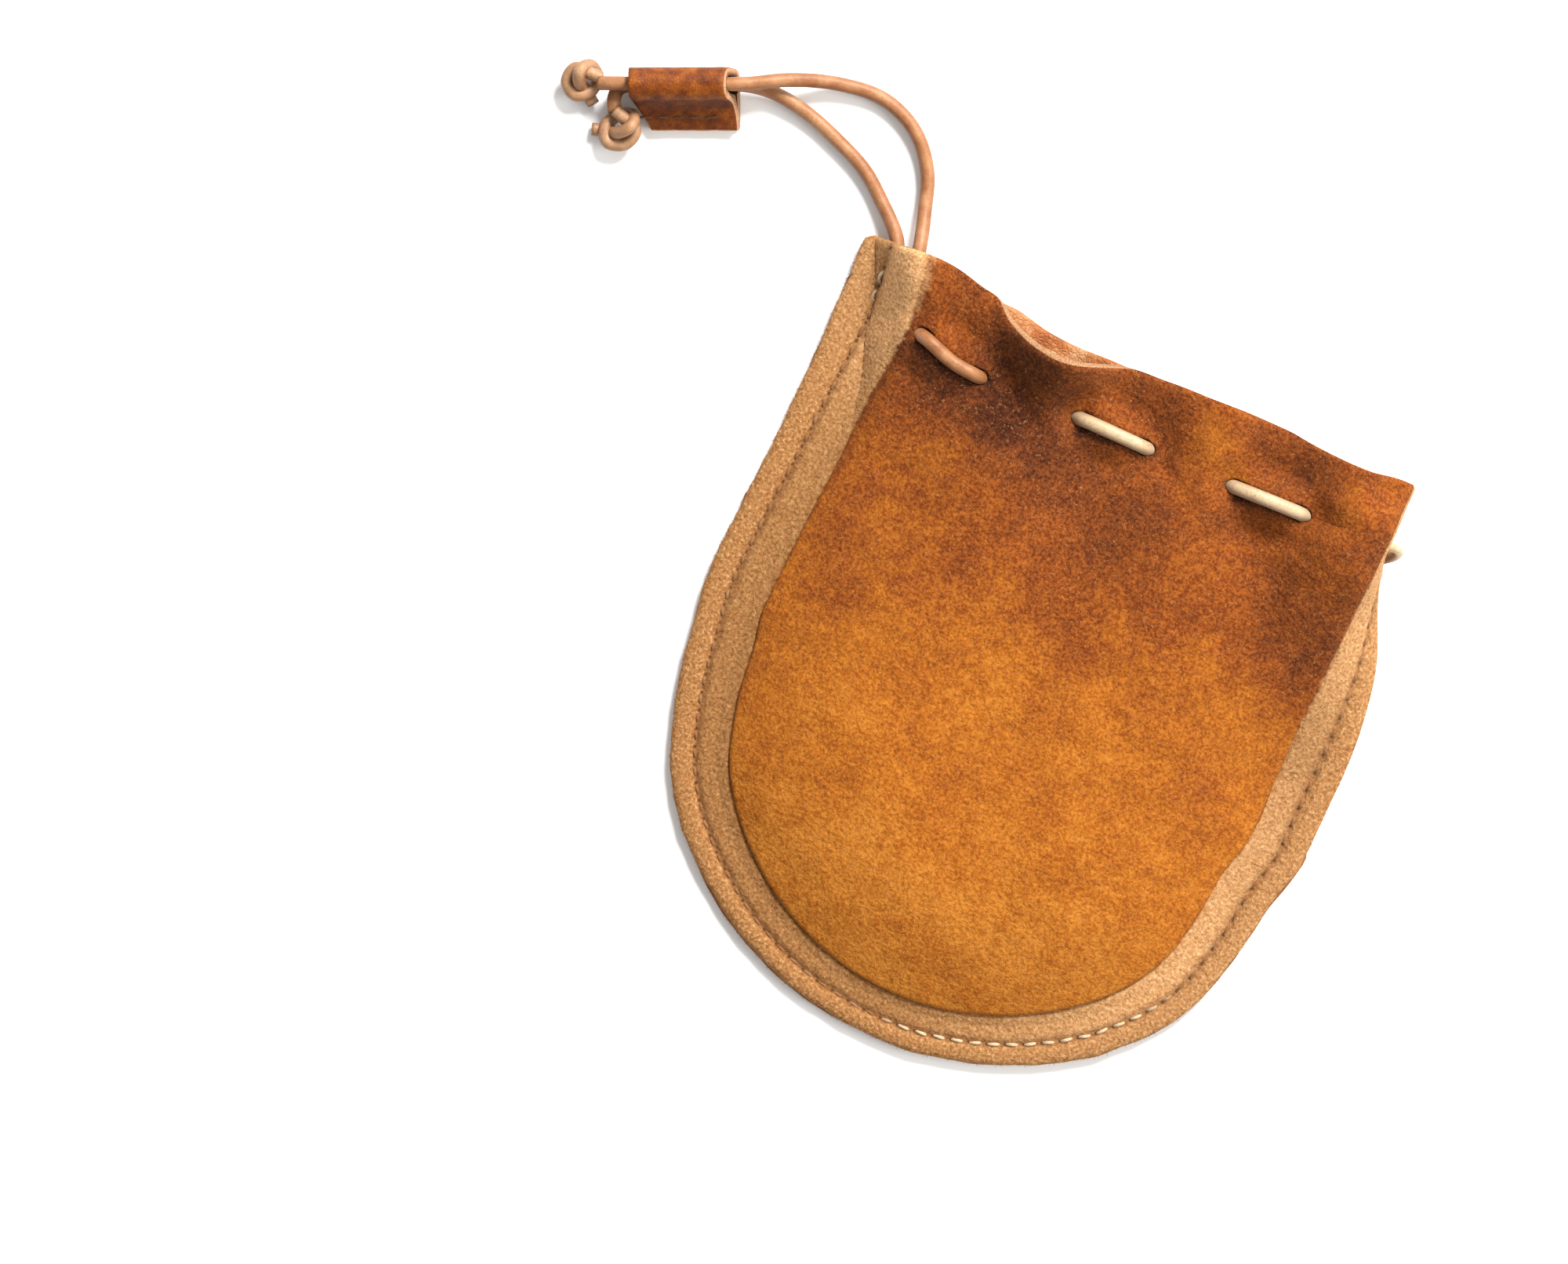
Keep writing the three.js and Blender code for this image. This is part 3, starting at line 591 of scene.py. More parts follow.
def border_relief(inset, border, seam, along_seam, top):
    """How the outer face stands off its plain place in the thin border, in millimetres."""
    off = inset - seam
    groove = -0.42 * math.exp(-(off / 0.5) ** 2) * (0.3 + 0.7 * smooth(top / 7.0))
    rib = 0.22 * math.sin(math.pi * clamp(inset / max(seam, 0.1))) if inset < seam else 0.0
    inner = 0.12 * math.sin(math.pi * clamp(off / max(border - seam, 0.1))) if off > 0 else 0.0
    edge = -0.4 * (1 - clamp(inset / 0.8)) ** 2
    line = -0.22 * math.exp(-((inset - border - 0.1) / 0.25) ** 2)
    pull = -0.12 * math.exp(-(off / 0.8) ** 2) * math.cos(2 * math.pi * along_seam / STITCH_PITCH)
    mouth = -0.35 * (1 - clamp(top / 0.7)) ** 2
    return groove + rib + inner + edge + line + pull + mouth


def tone_of(x, y):
    """How dark the suede is painted, from 0 for bright gold to 1 for dark brown: darker towards the
    mouth, with painted shade and painted light in its spots and a painted shadow below the cord.
    """
    tone = 0.22 - 0.18 * smooth((-18 - y) / 22) + 0.43 * smooth((y + 14) / 56)
    for px, py, rx, ry, amount in TONE_AND_SHADE_SPOTS:
        tone += amount * math.exp(-((x - px) / rx) ** 2 - ((y - py) / ry) ** 2)
    # A painted shadow on the suede just below each front stretch of the cord.
    if 36 < y < 48:
        cord_shadow_distance = min((x + 0.35 - p.x) ** 2 + (y + 1.5 - p.y) ** 2 for p in DASH_SAMPLES)
        tone += 0.42 * math.exp(-cord_shadow_distance / 0.75)
    at = Vector((x, y, 0.0))
    return tone + 0.14 * noise.noise(at / 9.0) + 0.06 * noise.noise(at / 3.5)


def dash_points():
    """Where the cord lies on the front panel: samples of its line over each outside stretch."""
    samples = []
    for first, last in FRONT_DASHES:
        low, high = CORD_ROUTE[first][0], CORD_ROUTE[last][0]
        for point in cord_line:
            if low - 1.0 <= point.x <= high + 1.0 and point.y > 41 and point.z > 8.8:
                samples.append(point)
    return samples


DASH_SAMPLES = dash_points()
# The leather hugs the cord at its last crossing, so no hole is cut there.
CUT_CROSSINGS = FRONT_CROSSINGS[:-1]
HOLES = [(Vector(CORD_ROUTE[i]) + Vector(CORD_ROUTE[i + 1])) / 2 for i in CUT_CROSSINGS]


def settled(point):
    """How far the leather goes up or down to lie against the cord that is drawn over it."""
    x, y, z = point
    nearest = min(DASH_SAMPLES, key=lambda sample: (x - sample.x) ** 2 + (y - sample.y) ** 2)
    off = math.hypot(x - nearest.x, y - nearest.y)
    if off > 6:
        return 0.0
    radius = CORD_DIAMETER / 2
    under = nearest.z - math.sqrt(max(0.0, radius * radius - off * off)) - 0.04
    target = min(under, nearest.z - 0.35 * radius)
    return (target - z) * (1 - smooth((off - 1.1 * radius) / 4.5))


def pinch(x, y):
    """The furrow that the pulled cord makes along its row, and the dimples round its holes."""
    drop = 0.35 * math.exp(-((y - 42.6) / (2.2 if y > 42.6 else 3.6)) ** 2)
    for hole in HOLES:
        near = (x - hole.x) ** 2 + (y - hole.y) ** 2
        if near < 40:
            drop += 0.55 * math.exp(-near / 3.0)
    return drop


def running(line):
    """The length along a line up to each of its points."""
    lengths = [0.0]
    for start, end in zip(line, line[1:]):
        lengths.append(lengths[-1] + (end - start).length)
    return lengths


def edge_point(station):
    """The plain outline of a panel, to measure along."""
    reach = HALF * outline_share(station)
    if 1 <= station <= 2:
        angle = (station - 1.5) * math.pi
        return Vector((reach * math.sin(angle), CENTRE_Y - reach * math.cos(angle)))
    side = -1 if station < 1 else 1
    share = 1 - station if side < 0 else station - 2
    return Vector((side * reach, CENTRE_Y + SIDE_LENGTH * share))


def panel_mesh(face, layer, direction, side_rows, round_rows, border_steps, inner_steps):
    """A panel as a closed mesh, with the facts that its material reads at each point."""
    stations = stations_of(side_rows, round_rows)
    arcs = running([edge_point(station) for station in stations])
    points, facts, known, grid = [], [], {}, []
    for row, station in enumerate(stations):
        reach = HALF * outline_share(station)
        line = []
        for column in range(border_steps + inner_steps + 1):
            if column <= border_steps:
                inset = BORDER_GRID * column / border_steps
            else:
                inset = mix(BORDER_GRID, reach, (column - border_steps) / inner_steps)
            spot, effective = face(station, inset)
            x, y, z = spot
            top = SIDE_LENGTH * min(station, 3 - station)
            if layer == "front" and effective > 4:
                z -= pinch(x, y) * smooth((effective - 9) / 3)
            name = (round(x * 1e4), round(y * 1e4), round(z * 1e4))
            if name not in known:
                known[name] = len(points)
                points.append((x, y, z))
                facts.append((inset, station, arcs[row], top))
            line.append(known[name])
        grid.append(line)
    inside_faces = []

    def add(a, b, c, d):
        corners = []
        for corner in (a, b, c, d):
            if corner not in corners:
                corners.append(corner)
        if len(corners) > 2:
            inside_faces.append(tuple(corners))

    for low, high in zip(grid, grid[1:]):
        for a, b, c, d in zip(low, high, high[1:], low[1:]):
            add(a, b, c, d)
    flat = bpy.data.meshes.new("flat")
    flat.from_pydata(points, [], inside_faces)
    flat.update()
    normals = [vertex.normal.copy() for vertex in flat.vertices]
    bpy.data.meshes.remove(flat)
    outer, lifted, marks = [], [], {name: [] for name in MARKS}
    for point, normal, (inset, station, arc, top) in zip(points, normals, facts):
        border, seam = band_at(station), seam_at(station)
        thick = mix(MARGIN_LEATHER, LEATHER, smooth((inset - border) / SKIVE_STEP))
        thick += border_relief(inset, border, seam, arc, top)
        far = Vector(point) + direction * thick * normal
        if layer == "front" and inset > 7:
            shift = settled(far) * smooth((inset - 7) / 4)
            far.z += shift
            lifted.append(shift)
        else:
            lifted.append(0.0)
        far.z = max(0.0, far.z)
        outer.append(far)
        values = (inset - border, inset - seam, arc, tone_of(*point[:2]), light_at(station))
        for name, value in zip(MARKS, values):
            marks[name].append(value)
    points = [(x, y, z + shift) for (x, y, z), shift in zip(points, lifted)]
    count = len(points)
    rim = [line[0] for line in grid] + grid[-1][1:] + list(reversed(grid[0][:-1]))
    up, down = (count, 0) if direction > 0 else (0, count)
    faces, slots = [], []
    for corners in inside_faces:
        faces.append(tuple(c + up for c in corners))
        slots.append(0 if direction > 0 else 1)
        faces.append(tuple(c + down for c in reversed(corners)))
        slots.append(1 if direction > 0 else 0)
    for i, here in enumerate(rim):
        after = rim[(i + 1) % len(rim)]
        if here != after:
            faces.append((here + down, after + down, after + up, here + up))
            slots.append(2)
    piece = new_object(layer + "_leather", points + [tuple(p) for p in outer], faces, slots)
    for name, values in marks.items():
        set_floats(piece, name, values * 2)
    return piece, rim


def punch(piece, crossings, material_slot):
    """Cuts the lacing holes through a panel, along the cord's own line.

    The rims of the holes take the colour facts of the uncut leather nearest to them."""
    facts, whole_leather = {}, KDTree(len(piece.data.vertices))
    for name in MARKS:
        facts[name] = [item.value for item in piece.data.attributes[name].data]
    for vertex in piece.data.vertices:
        whole_leather.insert(vertex.co, vertex.index)
    whole_leather.balance()
    cutters = []
    for first in crossings:
        start, end = Vector(CORD_ROUTE[first]), Vector(CORD_ROUTE[first + 1])
        reach = (end - start).normalized() * 1.2
        ends = [start - reach, end + reach]
        line = [ends[0].lerp(ends[1], k / 6) for k in range(7)]
        points, sides = sweep(line, lambda i, angle: HOLE_RADIUS, 20)
        cutters.append(new_object("cutter", points, sides, [material_slot] * len(sides)))
    for cutter in cutters:
        for material in piece.data.materials:
            cutter.data.materials.append(material)
        cut = piece.modifiers.new("hole", "BOOLEAN")
        cut.operation = "DIFFERENCE"
        cut.object = cutter
        cut.solver = "EXACT"
        graph = bpy.context.evaluated_depsgraph_get()
        mesh = bpy.data.meshes.new_from_object(piece.evaluated_get(graph))
        piece.modifiers.clear()
        whole = len(mesh.polygons) > 0.9 * len(piece.data.polygons)
        spare = piece.data if whole else mesh
        if whole:
            piece.data = mesh
        bpy.data.meshes.remove(spare)
    for cutter in cutters:
        mesh = cutter.data
        bpy.data.objects.remove(cutter)
        bpy.data.meshes.remove(mesh)
    nearest = [whole_leather.find(vertex.co)[1] for vertex in piece.data.vertices]
    for name, values in facts.items():
        layer = piece.data.attributes[name]
        layer.data.foreach_set("value", [values[index] for index in nearest])
    piece.data.name = piece.name
    piece.data.polygons.foreach_set("use_smooth", [True] * len(piece.data.polygons))


front, front_rim = panel_mesh(front_face, "front", 1, SIDE_ROWS, ROUND_ROWS, 28, 46)
back, back_rim = panel_mesh(back_face, "back", -1, 80, 130, 20, 26)


# The lights clip the floor to white, so what lies on it is that much darker than it looks.
ALBEDO = 0.56


class Finish:
    """A procedural material, its nodes placed in object space with sizes in millimetres."""

    def __init__(self, name, roughness):
        self.material = bpy.data.materials.new(name)
        self.material.use_nodes = True
        self.tree = self.material.node_tree
        self.shader = self.tree.nodes["Principled BSDF"]
        self.shader.inputs["Roughness"].default_value = roughness
        self.place = self.tree.nodes.new("ShaderNodeTexCoord").outputs["Object"]

    def link(self, value, socket):
        if isinstance(value, bpy.types.NodeSocket):
            self.tree.links.new(value, socket)
        else:
            socket.default_value = value

    def fact(self, name):
        node = self.tree.nodes.new("ShaderNodeAttribute")
        node.attribute_name = name
        return node.outputs["Fac"]

    def noise(self, size, detail=3.0, rough=0.6, distortion=0.0):
        node = self.tree.nodes.new("ShaderNodeTexNoise")
        node.inputs["Scale"].default_value = 1 / (size * MM)
        node.inputs["Detail"].default_value = detail
        node.inputs["Roughness"].default_value = rough
        node.inputs["Distortion"].default_value = distortion
        self.tree.links.new(self.place, node.inputs["Vector"])
        return node.outputs["Fac"]

    def cells(self, size):
        """The distance to the edges of a pebbled grain's cells."""
        node = self.tree.nodes.new("ShaderNodeTexVoronoi")
        node.feature = "DISTANCE_TO_EDGE"
        node.inputs["Scale"].default_value = 1 / (size * MM)
        self.tree.links.new(self.place, node.inputs["Vector"])
        return node.outputs["Distance"]

    def math(self, operation, first, second=0.0, clamped=False):
        node = self.tree.nodes.new("ShaderNodeMath")
        node.operation = operation
        node.use_clamp = clamped
        self.link(first, node.inputs[0])
        self.link(second, node.inputs[1])
        return node.outputs[0]

    def steps(self, value, low, high, to_low=0.0, to_high=1.0):
        node = self.tree.nodes.new("ShaderNodeMapRange")
        node.interpolation_type = "SMOOTHSTEP"
        for name, number in (
            ("From Min", low), ("From Max", high), ("To Min", to_low), ("To Max", to_high)
        ):
            node.inputs[name].default_value = number
        self.link(value, node.inputs["Value"])
        return node.outputs["Result"]

    def ridge(self, value, start, full, fading, end):
        """1 between full and fading, falling to 0 at start and end."""
        return self.math(
            "MULTIPLY", self.steps(value, start, full), self.steps(value, fading, end, 1, 0)
        )

    def ramp(self, value, stops, scale=ALBEDO):
        node = self.tree.nodes.new("ShaderNodeValToRGB")
        elements = node.color_ramp.elements
        while len(elements) < len(stops):
            elements.new(0.5)
        for element, (at, colour) in zip(elements, stops):
            element.position = at
            element.color = linear(colour, scale)
        self.link(value, node.inputs["Fac"])
        return node.outputs["Color"]

    def blend(self, share, first, second, beyond=False):
        """A mix of two colours. A share past 1 runs on past the second where beyond is set."""
        node = self.tree.nodes.new("ShaderNodeMix")
        node.data_type = "RGBA"
        node.clamp_factor = not beyond
        self.link(share, node.inputs["Factor"])
        for value, name in ((first, "A"), (second, "B")):
            socket = next(s for s in node.inputs if s.name == name and s.type == "RGBA")
            self.link(linear(value) if isinstance(value, tuple) else value, socket)
        return next(s for s in node.outputs if s.type == "RGBA")

    def colour(self, value):
        self.link(value, self.shader.inputs["Base Color"])

    def bumps(self, *layers):
        normal = None
        for height, distance, strength in layers:
            node = self.tree.nodes.new("ShaderNodeBump")
            node.inputs["Distance"].default_value = distance * MM
            node.inputs["Strength"].default_value = strength
            self.link(height, node.inputs["Height"])
            if normal:
                self.tree.links.new(normal, node.inputs["Normal"])
            normal = node.outputs["Normal"]
        self.tree.links.new(normal, self.shader.inputs["Normal"])


def linear(colour, scale=ALBEDO):
    """A display colour from 0 to 255 as the renderer's own values."""
    values = []
    for part in colour[:3]:
        c = part / 255
        values.append(scale * (c / 12.92 if c <= 0.04045 else ((c + 0.055) / 1.055) ** 2.4))
    return (*values, 1.0)


def suede():
    """Suede from its painted tone, with painted shade and painted light in it, and the pale band of
    the border outside it, which takes painted light too.
    """
    finish = Finish("suede", 0.95)
    fine = finish.noise(0.5, 3, 0.65)
    medium = finish.noise(1.7, 4, 0.68, 0.4)
    large = finish.noise(8.0, 4, 0.6, 0.6)
    flecks = finish.noise(0.42, 2, 0.5, 1.2)
    tone = finish.math("ADD", finish.fact("tone"), finish.steps(medium, 0.3, 0.7, -0.11, 0.11))
    tone = finish.math("ADD", tone, finish.steps(large, 0.3, 0.7, -0.07, 0.07), True)
    low = finish.ramp(tone, [
        (0.0, (190, 108, 28)), (0.2, (168, 87, 16)), (0.5, (126, 54, 10)), (0.78, (88, 36, 10)),
        (1.0, (52, 19, 7)),
    ])
    high = finish.ramp(tone, [
        (0.0, (228, 147, 56)), (0.2, (210, 127, 40)), (0.5, (176, 95, 34)), (0.78, (138, 72, 32)),
        (1.0, (98, 47, 24)),
    ])
    hide = finish.blend(finish.steps(fine, 0.33, 0.67), low, high)
    hide = finish.blend(finish.steps(flecks, 0.59, 0.71, 0.0, 0.40), hide, (218, 152, 94))
    pale = finish.ramp(fine, [
        (0.30, (136, 86, 44)), (0.45, (174, 118, 67)), (0.57, (196, 141, 87)),
        (0.70, (228, 182, 128)),
    ])
    inner = finish.ramp(fine, [
        (0.30, (132, 84, 44)), (0.46, (168, 115, 66)), (0.60, (188, 136, 84)),
        (0.72, (214, 166, 114)),
    ])
    # Painted light: the band's paler colours, taken by its light fact.
    lit = finish.ramp(fine, [
        (0.30, (176, 120, 72)), (0.46, (212, 155, 100)), (0.60, (234, 181, 126)),
        (0.72, (252, 210, 158)),
    ])
    inner = finish.blend(finish.fact("light"), inner, lit, beyond=True)
    pale = finish.blend(finish.math("MULTIPLY", finish.fact("light"), 0.35), pale, lit)
    seam = finish.fact("seam")
    border = finish.fact("border")
    band = finish.blend(finish.steps(seam, -0.2, 0.6), pale, inner)
    shade = finish.ridge(seam, -0.8, 0.0, 0.2, 1.4)
    band = finish.blend(finish.math("MULTIPLY", shade, 0.42), band, (128, 78, 44))
    ragged_edge = finish.math("ADD", border, finish.steps(medium, 0.3, 0.7, -0.28, 0.28))
    crisp = finish.steps(finish.fact("light"), 1.0, 1.6, 1.0, 0.2)
    ragged_edge = finish.math("MULTIPLY", ragged_edge, crisp)
    colour = finish.blend(finish.steps(ragged_edge, -0.18, 0.24), band, hide)
    # A painted shadow: a thin dark line at the foot of the step where the border is thinned.
    edge = finish.ridge(border, -0.4, 0.0, 0.05, 0.5)
    colour = finish.blend(finish.math("MULTIPLY", edge, 0.22), colour, (110, 62, 28))
    # Painted shade in the stitch holes along the seam.
    turns = finish.math("MULTIPLY", finish.fact("along"), 2 * math.pi / STITCH_PITCH)
    holes = finish.math("SINE", turns)
    at_seam = finish.ridge(seam, -0.35, -0.1, 0.1, 0.35)
    stitch_hole_shade = finish.math("MULTIPLY", finish.steps(holes, 0.75, 0.95), at_seam)
    colour = finish.blend(finish.math("MULTIPLY", stitch_hole_shade, 0.7), colour, (70, 38, 20))
    finish.colour(colour)
    finish.shader.inputs["Sheen Weight"].default_value = 0.12
    finish.shader.inputs["Sheen Roughness"].default_value = 0.6
    finish.shader.inputs["Sheen Tint"].default_value = linear((240, 190, 130))
    finish.shader.inputs["Specular IOR Level"].default_value = 0.12
    finish.bumps((fine, 0.3, 0.5), (medium, 0.7, 0.6))
    return finish.material


def grain(name, deep, middle, light, roughness, size, clouds=4.0, relief=0.6):
    finish = Finish(name, roughness)
    cells = finish.cells(size)
    large = finish.noise(clouds, 3, 0.6)
    fine = finish.noise(0.3, 3, 0.6)
    colour = finish.ramp(large, [(0.32, deep), (0.5, middle), (0.68, light)])
    colour = finish.blend(finish.steps(cells, 0.0, 0.12, 0.4, 0.0), colour, deep)
    colour = finish.blend(finish.fact("shade"), colour, (84, 38, 20))
    finish.colour(colour)
    finish.link(finish.steps(fine, 0.3, 0.7, roughness - 0.08, roughness + 0.1),
                finish.shader.inputs["Roughness"])
    finish.shader.inputs["Specular IOR Level"].default_value = 0.18
    finish.bumps((finish.steps(cells, 0.0, 0.22), 0.12, relief), (fine, 0.08, 0.3))
    return finish.material


def raw_edge(name, deep, middle, light):
    finish = Finish(name, 0.9)
    fibres = finish.noise(0.25, 4, 0.7, 0.6)
    finish.colour(finish.ramp(fibres, [(0.3, deep), (0.5, middle), (0.7, light)]))
    finish.bumps((fibres, 0.2, 0.6))
    return finish.material


def cord_leather():
    finish = Finish("cord_leather", 0.45)
    large = finish.noise(3.5, 3, 0.6)
    fine = finish.noise(0.35, 4, 0.6, 0.8)
    tan = finish.ramp(large, [(0.3, (174, 110, 66)), (0.5, (200, 138, 90)), (0.7, (222, 166, 118))])
    cream = finish.ramp(large, [(0.3, (232, 198, 152)), (0.6, (250, 222, 180))])
    colour = finish.blend(finish.fact("pale"), tan, cream)
    finish.shader.inputs["Specular IOR Level"].default_value = 0.3
    colour = finish.blend(finish.steps(fine, 0.52, 0.72, 0.0, 0.5), colour, (150, 86, 48))
    # Painted shade: the cord is darker down its sides.
    flank_shade = finish.math("MULTIPLY", finish.fact("flank_shade"), 0.5)
    finish.colour(finish.blend(flank_shade, colour, (134, 74, 40)))
    finish.bumps((fine, 0.12, 0.4), (large, 0.3, 0.2))
    return finish.material


def thread():
    finish = Finish("waxed_thread", 0.85)
    finish.shader.inputs["Specular IOR Level"].default_value = 0.1
    twist = finish.noise(0.2, 2, 0.5, 0.4)
    dull = finish.ramp(twist, [(0.35, (138, 88, 50)), (0.65, (178, 126, 80))])
    white = finish.ramp(twist, [(0.35, (218, 184, 142)), (0.65, (244, 220, 184))])
    finish.colour(finish.blend(finish.fact("clean"), dull, white))
    finish.bumps((twist, 0.08, 0.5))
    return finish.material


SUEDE = suede()
GRAIN = grain("grain_inside", (166, 90, 42), (206, 130, 72), (232, 176, 126), 0.42, 0.8)
RAW = raw_edge("cut_edge", (120, 72, 36), (186, 130, 80), (226, 184, 136))
# Near-black walls in the lacing holes: painted shade.
HOLE_WALL_SHADE = raw_edge("hole_wall_shade", (44, 20, 10), (70, 34, 18), (100, 56, 30))
CORD = cord_leather()
SLEEVE = grain("sleeve_leather", (108, 48, 8), (150, 74, 10), (184, 102, 22), 0.55, 0.55, 2.0, 0.25)
SLEEVE_EDGE = raw_edge("sleeve_edge", (160, 100, 56), (214, 158, 108), (240, 200, 156))
THREAD = thread()
SLEEVE_THREAD = raw_edge("sleeve_thread", (84, 46, 26), (118, 70, 42), (146, 94, 60))

for piece in (front, back):
    for material in (SUEDE, GRAIN, RAW, HOLE_WALL_SHADE):
        piece.data.materials.append(material)
punch(front, CUT_CROSSINGS, 3)
punch(back, BACK_CROSSINGS, 3)
for piece in (drawstring, knot_a, knot_b):
    piece.data.materials.append(CORD)


def outside(face, station, inset, direction, lift):
    """A point a little off the outer face of a panel."""
    here = Vector(face(station, inset)[0])
    ahead = Vector(face(min(2.999, station + 0.002), inset)[0])
    inward = Vector(face(station, inset + 0.1)[0])
    normal = (ahead - here).cross(inward - here).normalized() * direction
    return here + normal * (MARGIN_LEATHER + lift)


def ply(i, angle):
    """The radius of two-ply thread, which turns about itself along its length."""
    return STITCH_RADIUS * (1 + 0.12 * math.sin(2 * angle + i * 1.2))


def seam_stitches(face, direction, name):
    stations = stations_of(400, 800)
    arcs = running([Vector(face(station, 0.0)[0]) for station in stations])
    vertices, faces, clean = [], [], []
    pen = random.Random(11)
    at = 1.2 * STITCH_PITCH
    while at + STITCH_PITCH < arcs[-1] - 1.0:
        line = []
        shift = pen.uniform(-0.12, 0.12)
        index = min(len(arcs) - 2, max(0, bisect_right(arcs, at + STITCH_PITCH / 2) - 1))
        middle = Vector(face(stations[index], 4.0)[0])
        bright = smooth((21 - abs(middle.x - 21)) / 6) if middle.y < -30 else 0.0
        bright = max(bright, smooth((middle.y - 43) / 3) if middle.x < 0 else 0.0)
        for k in range(9):
            share = k / 8
            reach = at + STITCH_PITCH * mix(0.2, 0.8, share)
            index = min(len(arcs) - 2, max(0, bisect_right(arcs, reach) - 1))
            part = (reach - arcs[index]) / max(1e-6, arcs[index + 1] - arcs[index])
            station = mix(stations[index], stations[index + 1], part)
            rise = -1.03 + (0.25 if middle.y < 0 else 0.42) * clamp(bright)
            rise += 0.72 * math.sin(math.pi * share) ** 0.5
            inset = seam_at(station) + shift * (2 * share - 1)
            line.append(outside(face, station, inset, direction, rise))
        points, sides = sweep(line, ply, 8, len(vertices))
        vertices += points
        faces += sides
        clean += [clamp(bright + pen.uniform(-0.1, 0.12))] * len(points)
        at += STITCH_PITCH
    piece = new_object(name, [Vector((p[0], p[1], max(p[2], 0.0))) for p in vertices], faces)
    set_floats(piece, "clean", clean)
    piece.data.materials.append(THREAD)
    return piece


front_thread = seam_stitches(front_face, 1, "seam_thread_front")
back_thread = seam_stitches(back_face, -1, "seam_thread_back")


def arc(radius, middle, start, turn, steps, first):
    """Points of an arc over the sleeve's axis, with start and turn in half turns."""
    angles = [math.pi * (start + turn * k / steps) for k in range(first, steps + 1)]
    return [(radius * math.cos(a), middle + radius * math.sin(a)) for a in angles]


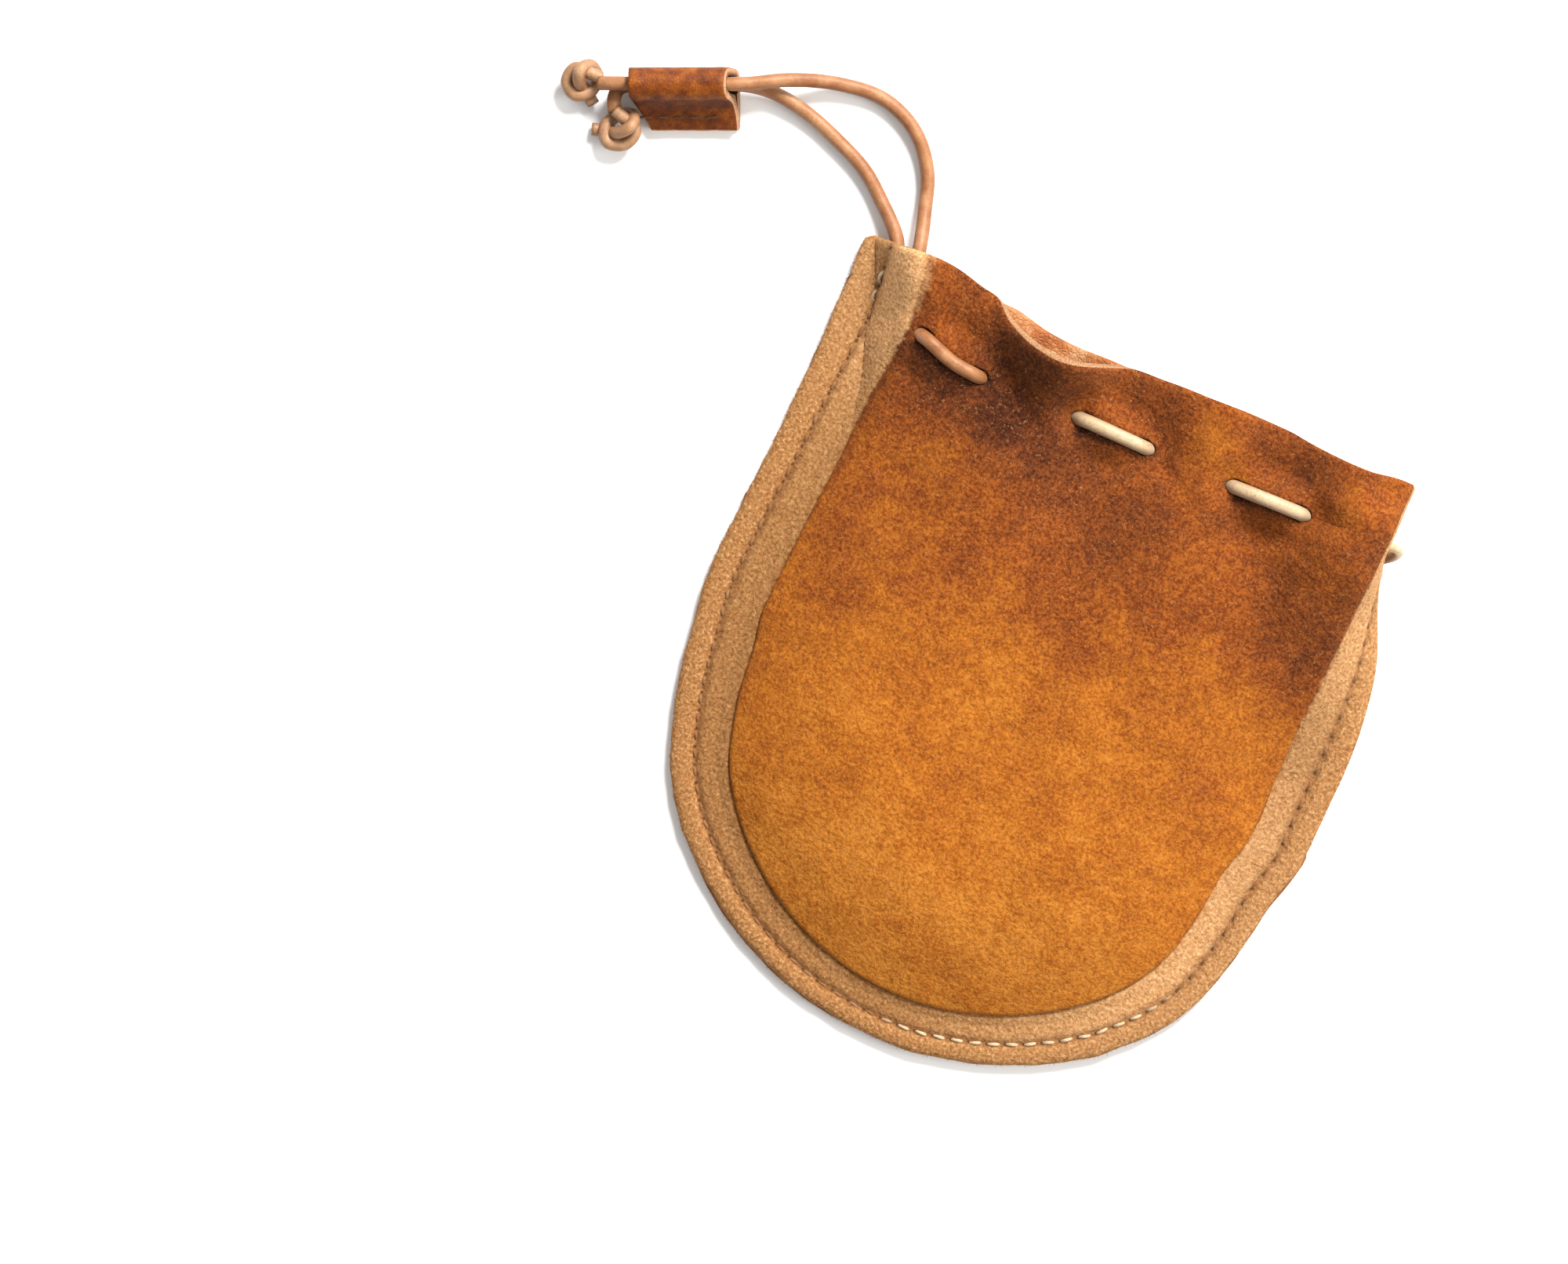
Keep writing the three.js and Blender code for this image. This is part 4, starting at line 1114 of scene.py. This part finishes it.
def sleeve():
    """Leather folded round both cords, its two layers sewn together as a tab beside them.

    Its section is in p, across the cords towards the tab, and q, up."""
    outer = [(6.80, 1.95), (6.2, 2.12), (5.4, 2.42), (4.6, 2.84), (3.9, 3.35), (3.25, 3.95),
             (2.85, 4.6)]
    outer += arc(SLEEVE_RADIUS, SLEEVE_HIGH, 0, 1, 18, 0)
    outer += arc(SLEEVE_RADIUS, SLEEVE_LOW, 1, 0.5, 9, 1)
    outer += [(1.5, 0.0), (3.0, 0.0), (4.5, 0.0), (6.2, 0.0), (6.62, 0.25), (6.7, 0.82),
              (6.3, 0.95), (5.3, 1.08), (6.4, 1.16), (6.86, 1.3), (6.92, 1.75)]
    bore = arc(BORE_RADIUS, SLEEVE_HIGH, 0, 1, 18, 0)
    bore += arc(BORE_RADIUS, SLEEVE_LOW, 1, 0.87, 15, 1) + [(3.9, 1.5), (1.66, 2.9)]

    def inward(points):
        shifts = []
        for i in range(len(points)):
            before, after = points[i - 1], points[(i + 1) % len(points)]
            away = Vector((after[1] - before[1], before[0] - after[0])).normalized()
            shifts.append(-away)
        return shifts

    outline = outer + bore
    shifts = inward(outer) + inward(bore)
    rows = [0.0, 0.12, 0.35] + [0.35 + (SLIDER_LENGTH - 0.7) * k / 34 for k in range(1, 35)]
    rows += [SLIDER_LENGTH - 0.12, SLIDER_LENGTH]
    axis = Vector((math.cos(SLIDER_HEADING), math.sin(SLIDER_HEADING), 0))
    across = Vector((axis.y, -axis.x, 0))
    end = Vector(SLIDER_RIGHT_END)
    vertices, faces, slots = [], [], []
    size = len(outline)
    for row, at in enumerate(rows):
        rounding = {0: 0.16, 1: 0.05}.get(min(row, len(rows) - 1 - row), 0.0)
        share = at / SLIDER_LENGTH
        for i, ((p, q), shift) in enumerate(zip(outline, shifts)):
            p += rounding * shift.x
            q += rounding * shift.y
            swell = Vector((at * 0.35, p * 0.4, q * 0.4))
            if i < len(outer):
                dent = 0.14 * noise.noise(swell)
                p += dent * 0.7
                q = max(0.0, q + dent) if q > 0.05 else 0.0
                if 3.0 < p:
                    q -= 0.25 * bump_of(at - DENT_MIDDLE, 9.0) * clamp(q - 1.2)
            right_cut = 2.6 * clamp(q / 7.9) ** 1.2 * (1 - share)
            left_cut = 3.4 * clamp((p - 1.6) / 4.6) * share
            reach = at + right_cut - left_cut
            vertices.append(end - axis * reach + across * p + Vector((0, 0, q)))
        if row:
            low, high = (row - 1) * size, row * size
            for start, count in ((0, len(outer)), (len(outer), len(bore))):
                for k in range(count):
                    a, b = start + k, start + (k + 1) % count
                    faces.append((low + a, high + a, high + b, low + b))
                    tip = start == 0 and (a >= len(outer) - 7 or a == 0) and b != 1
                    slots.append(1 if tip else 0)
    loops = [[Vector((p, q, 0)) for p, q in loop] for loop in (outer, bore)]
    cap = tessellate_polygon(loops)
    last = (len(rows) - 1) * size
    for triangle in cap:
        a, b, c = (Vector(outline[i]) for i in triangle)
        turned = (b - a).cross(c - a)
        order = tuple(triangle) if turned > 0 else tuple(reversed(triangle))
        faces.append(order)
        slots.append(1)
        faces.append(tuple(last + i for i in reversed(order)))
        slots.append(1)
    piece = new_object("sleeve", vertices, faces, slots)
    mesh = bmesh.new()
    mesh.from_mesh(piece.data)
    bmesh.ops.recalc_face_normals(mesh, faces=mesh.faces)
    mesh.to_mesh(piece.data)
    mesh.free()
    for material in (SLEEVE, SLEEVE_EDGE):
        piece.data.materials.append(material)
    set_floats(piece, "shade", [
        clamp(0.2 * smooth((p - 2.2) / 0.8) + 0.45 * math.exp(-((p - 2.9) / 0.5) ** 2)
              + 0.24 * smooth((p - 4.9) / 1.0)) if i < len(outer) else 0.8
        for _ in rows for i, (p, q) in enumerate(outline)
    ])
    stitches, sides, clean = [], [], []
    for k in range(5):
        line = []
        for step in range(7):
            share = step / 6
            at = 3.2 + 2.5 * (k + mix(0.1, 0.9, share))
            q = 2.37 - 0.25 * bump_of(at - DENT_MIDDLE, 9.0)
            q += 0.42 * math.sin(math.pi * share) ** 0.5
            line.append(end - axis * at + across * 4.9 + Vector((0, 0, q)))
        points, tube = sweep(line, lambda i, angle: 0.2, 8, len(stitches))
        stitches += points
        sides += tube
        clean += [0.12] * len(points)
    sewn = new_object("sleeve_thread", stitches, sides)
    set_floats(sewn, "clean", clean)
    sewn.data.materials.append(SLEEVE_THREAD)
    return piece, sewn


sleeve_piece, sleeve_thread = sleeve()


def fibres():
    """Loose fibres on the cut edges of both panels."""
    pen = random.Random(5)
    vertices, faces = [], []
    for _ in range(1500):
        station = pen.uniform(0.0, 3.0)
        layer = front_face if pen.random() < 0.6 else back_face
        root = Vector(layer(station, 0.05)[0])
        inner = Vector(layer(station, 0.6)[0])
        outward = (root - inner).normalized()
        root.z += pen.uniform(-0.1, 0.8) * (1 if layer is front_face else -1)
        root.z = max(0.15, root.z)
        sway = Vector((pen.uniform(-1, 1), pen.uniform(-1, 1), pen.uniform(-0.5, 0.8)))
        reach = pen.uniform(0.25, 0.75)
        line = [root - outward * 0.15]
        heading = (outward + 0.5 * sway).normalized()
        for _ in range(3):
            heading = (heading + 0.45 * Vector((pen.uniform(-1, 1), pen.uniform(-1, 1),
                                                pen.uniform(-1, 1)))).normalized()
            nxt = line[-1] + heading * reach / 3
            nxt.z = max(0.05, nxt.z)
            line.append(nxt)
        points, sides = sweep(line, lambda i, angle: 0.035 * (1 - 0.22 * i), 3, len(vertices))
        vertices += points
        faces += sides
    piece = new_object("edge_fibres", vertices, faces)
    piece.data.materials.append(RAW)
    return piece


loose_fibres = fibres()


# Each piece with its material slot and the CAD nodes that it stands in for
PIECES = [
    (front, "front_suede", ["front_panel"]),
    (back, "back_suede", ["back_panel"]),
    (drawstring, "cord_leather", ["drawstring"]),
    (knot_a, "knot_leather", ["knot_upper"]),
    (knot_b, "knot_leather", ["knot_lower"]),
    (sleeve_piece, "slider_leather", ["slider"]),
    (sleeve_thread, "slider_leather", []),
    (front_thread, "front_suede", []),
    (back_thread, "back_suede", []),
    (loose_fibres, "front_suede", []),
]
for piece, slot_name, nodes in PIECES:
    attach(piece, "root")
    if nodes:
        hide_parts(*nodes)


def floor():
    mesh = bpy.data.meshes.new("floor")
    edge = 6.0
    mesh.from_pydata([(-edge, -edge, 0), (edge, -edge, 0), (edge, edge, 0), (-edge, edge, 0)], [],
                     [(0, 1, 2, 3)])
    piece = bpy.data.objects.new("floor", mesh)
    bpy.context.scene.collection.objects.link(piece)
    piece.location.z = -0.00005
    finish = Finish("pale_paper", 0.9)
    paper = finish.noise(40.0, 2, 0.5)
    finish.colour(finish.ramp(paper, [(0.3, (247, 247, 246)), (0.7, (249, 249, 248))], 1.0))
    finish.shader.inputs["Specular IOR Level"].default_value = 0.1
    mesh.materials.append(finish.material)


def area_light(name, place, target, size, power, colour):
    data = bpy.data.lights.new(name, "AREA")
    data.shape = "DISK"
    data.size = size
    data.energy = power
    data.color = colour
    light = bpy.data.objects.new(name, data)
    light.location = place
    light.rotation_euler = (Vector(target) - Vector(place)).to_track_quat("-Z", "Y").to_euler()
    bpy.context.scene.collection.objects.link(light)


floor()
area_light("window", (0.12, 1.4, 1.3), (-0.02, 0.0, 0.0), 0.7, 78, (1.0, 0.985, 0.96))
area_light("fill", (1.3, 0.3, 0.9), (-0.02, 0.0, 0.0), 0.9, 16, (1.0, 0.99, 0.97))
bpy.context.scene.view_settings.view_transform = "Standard"
world = bpy.data.worlds.new("studio")
bpy.context.scene.world = world
world.use_nodes = True
world.node_tree.nodes["Background"].inputs["Color"].default_value = (1.0, 1.0, 1.0, 1.0)
world.node_tree.nodes["Background"].inputs["Strength"].default_value = 0.6
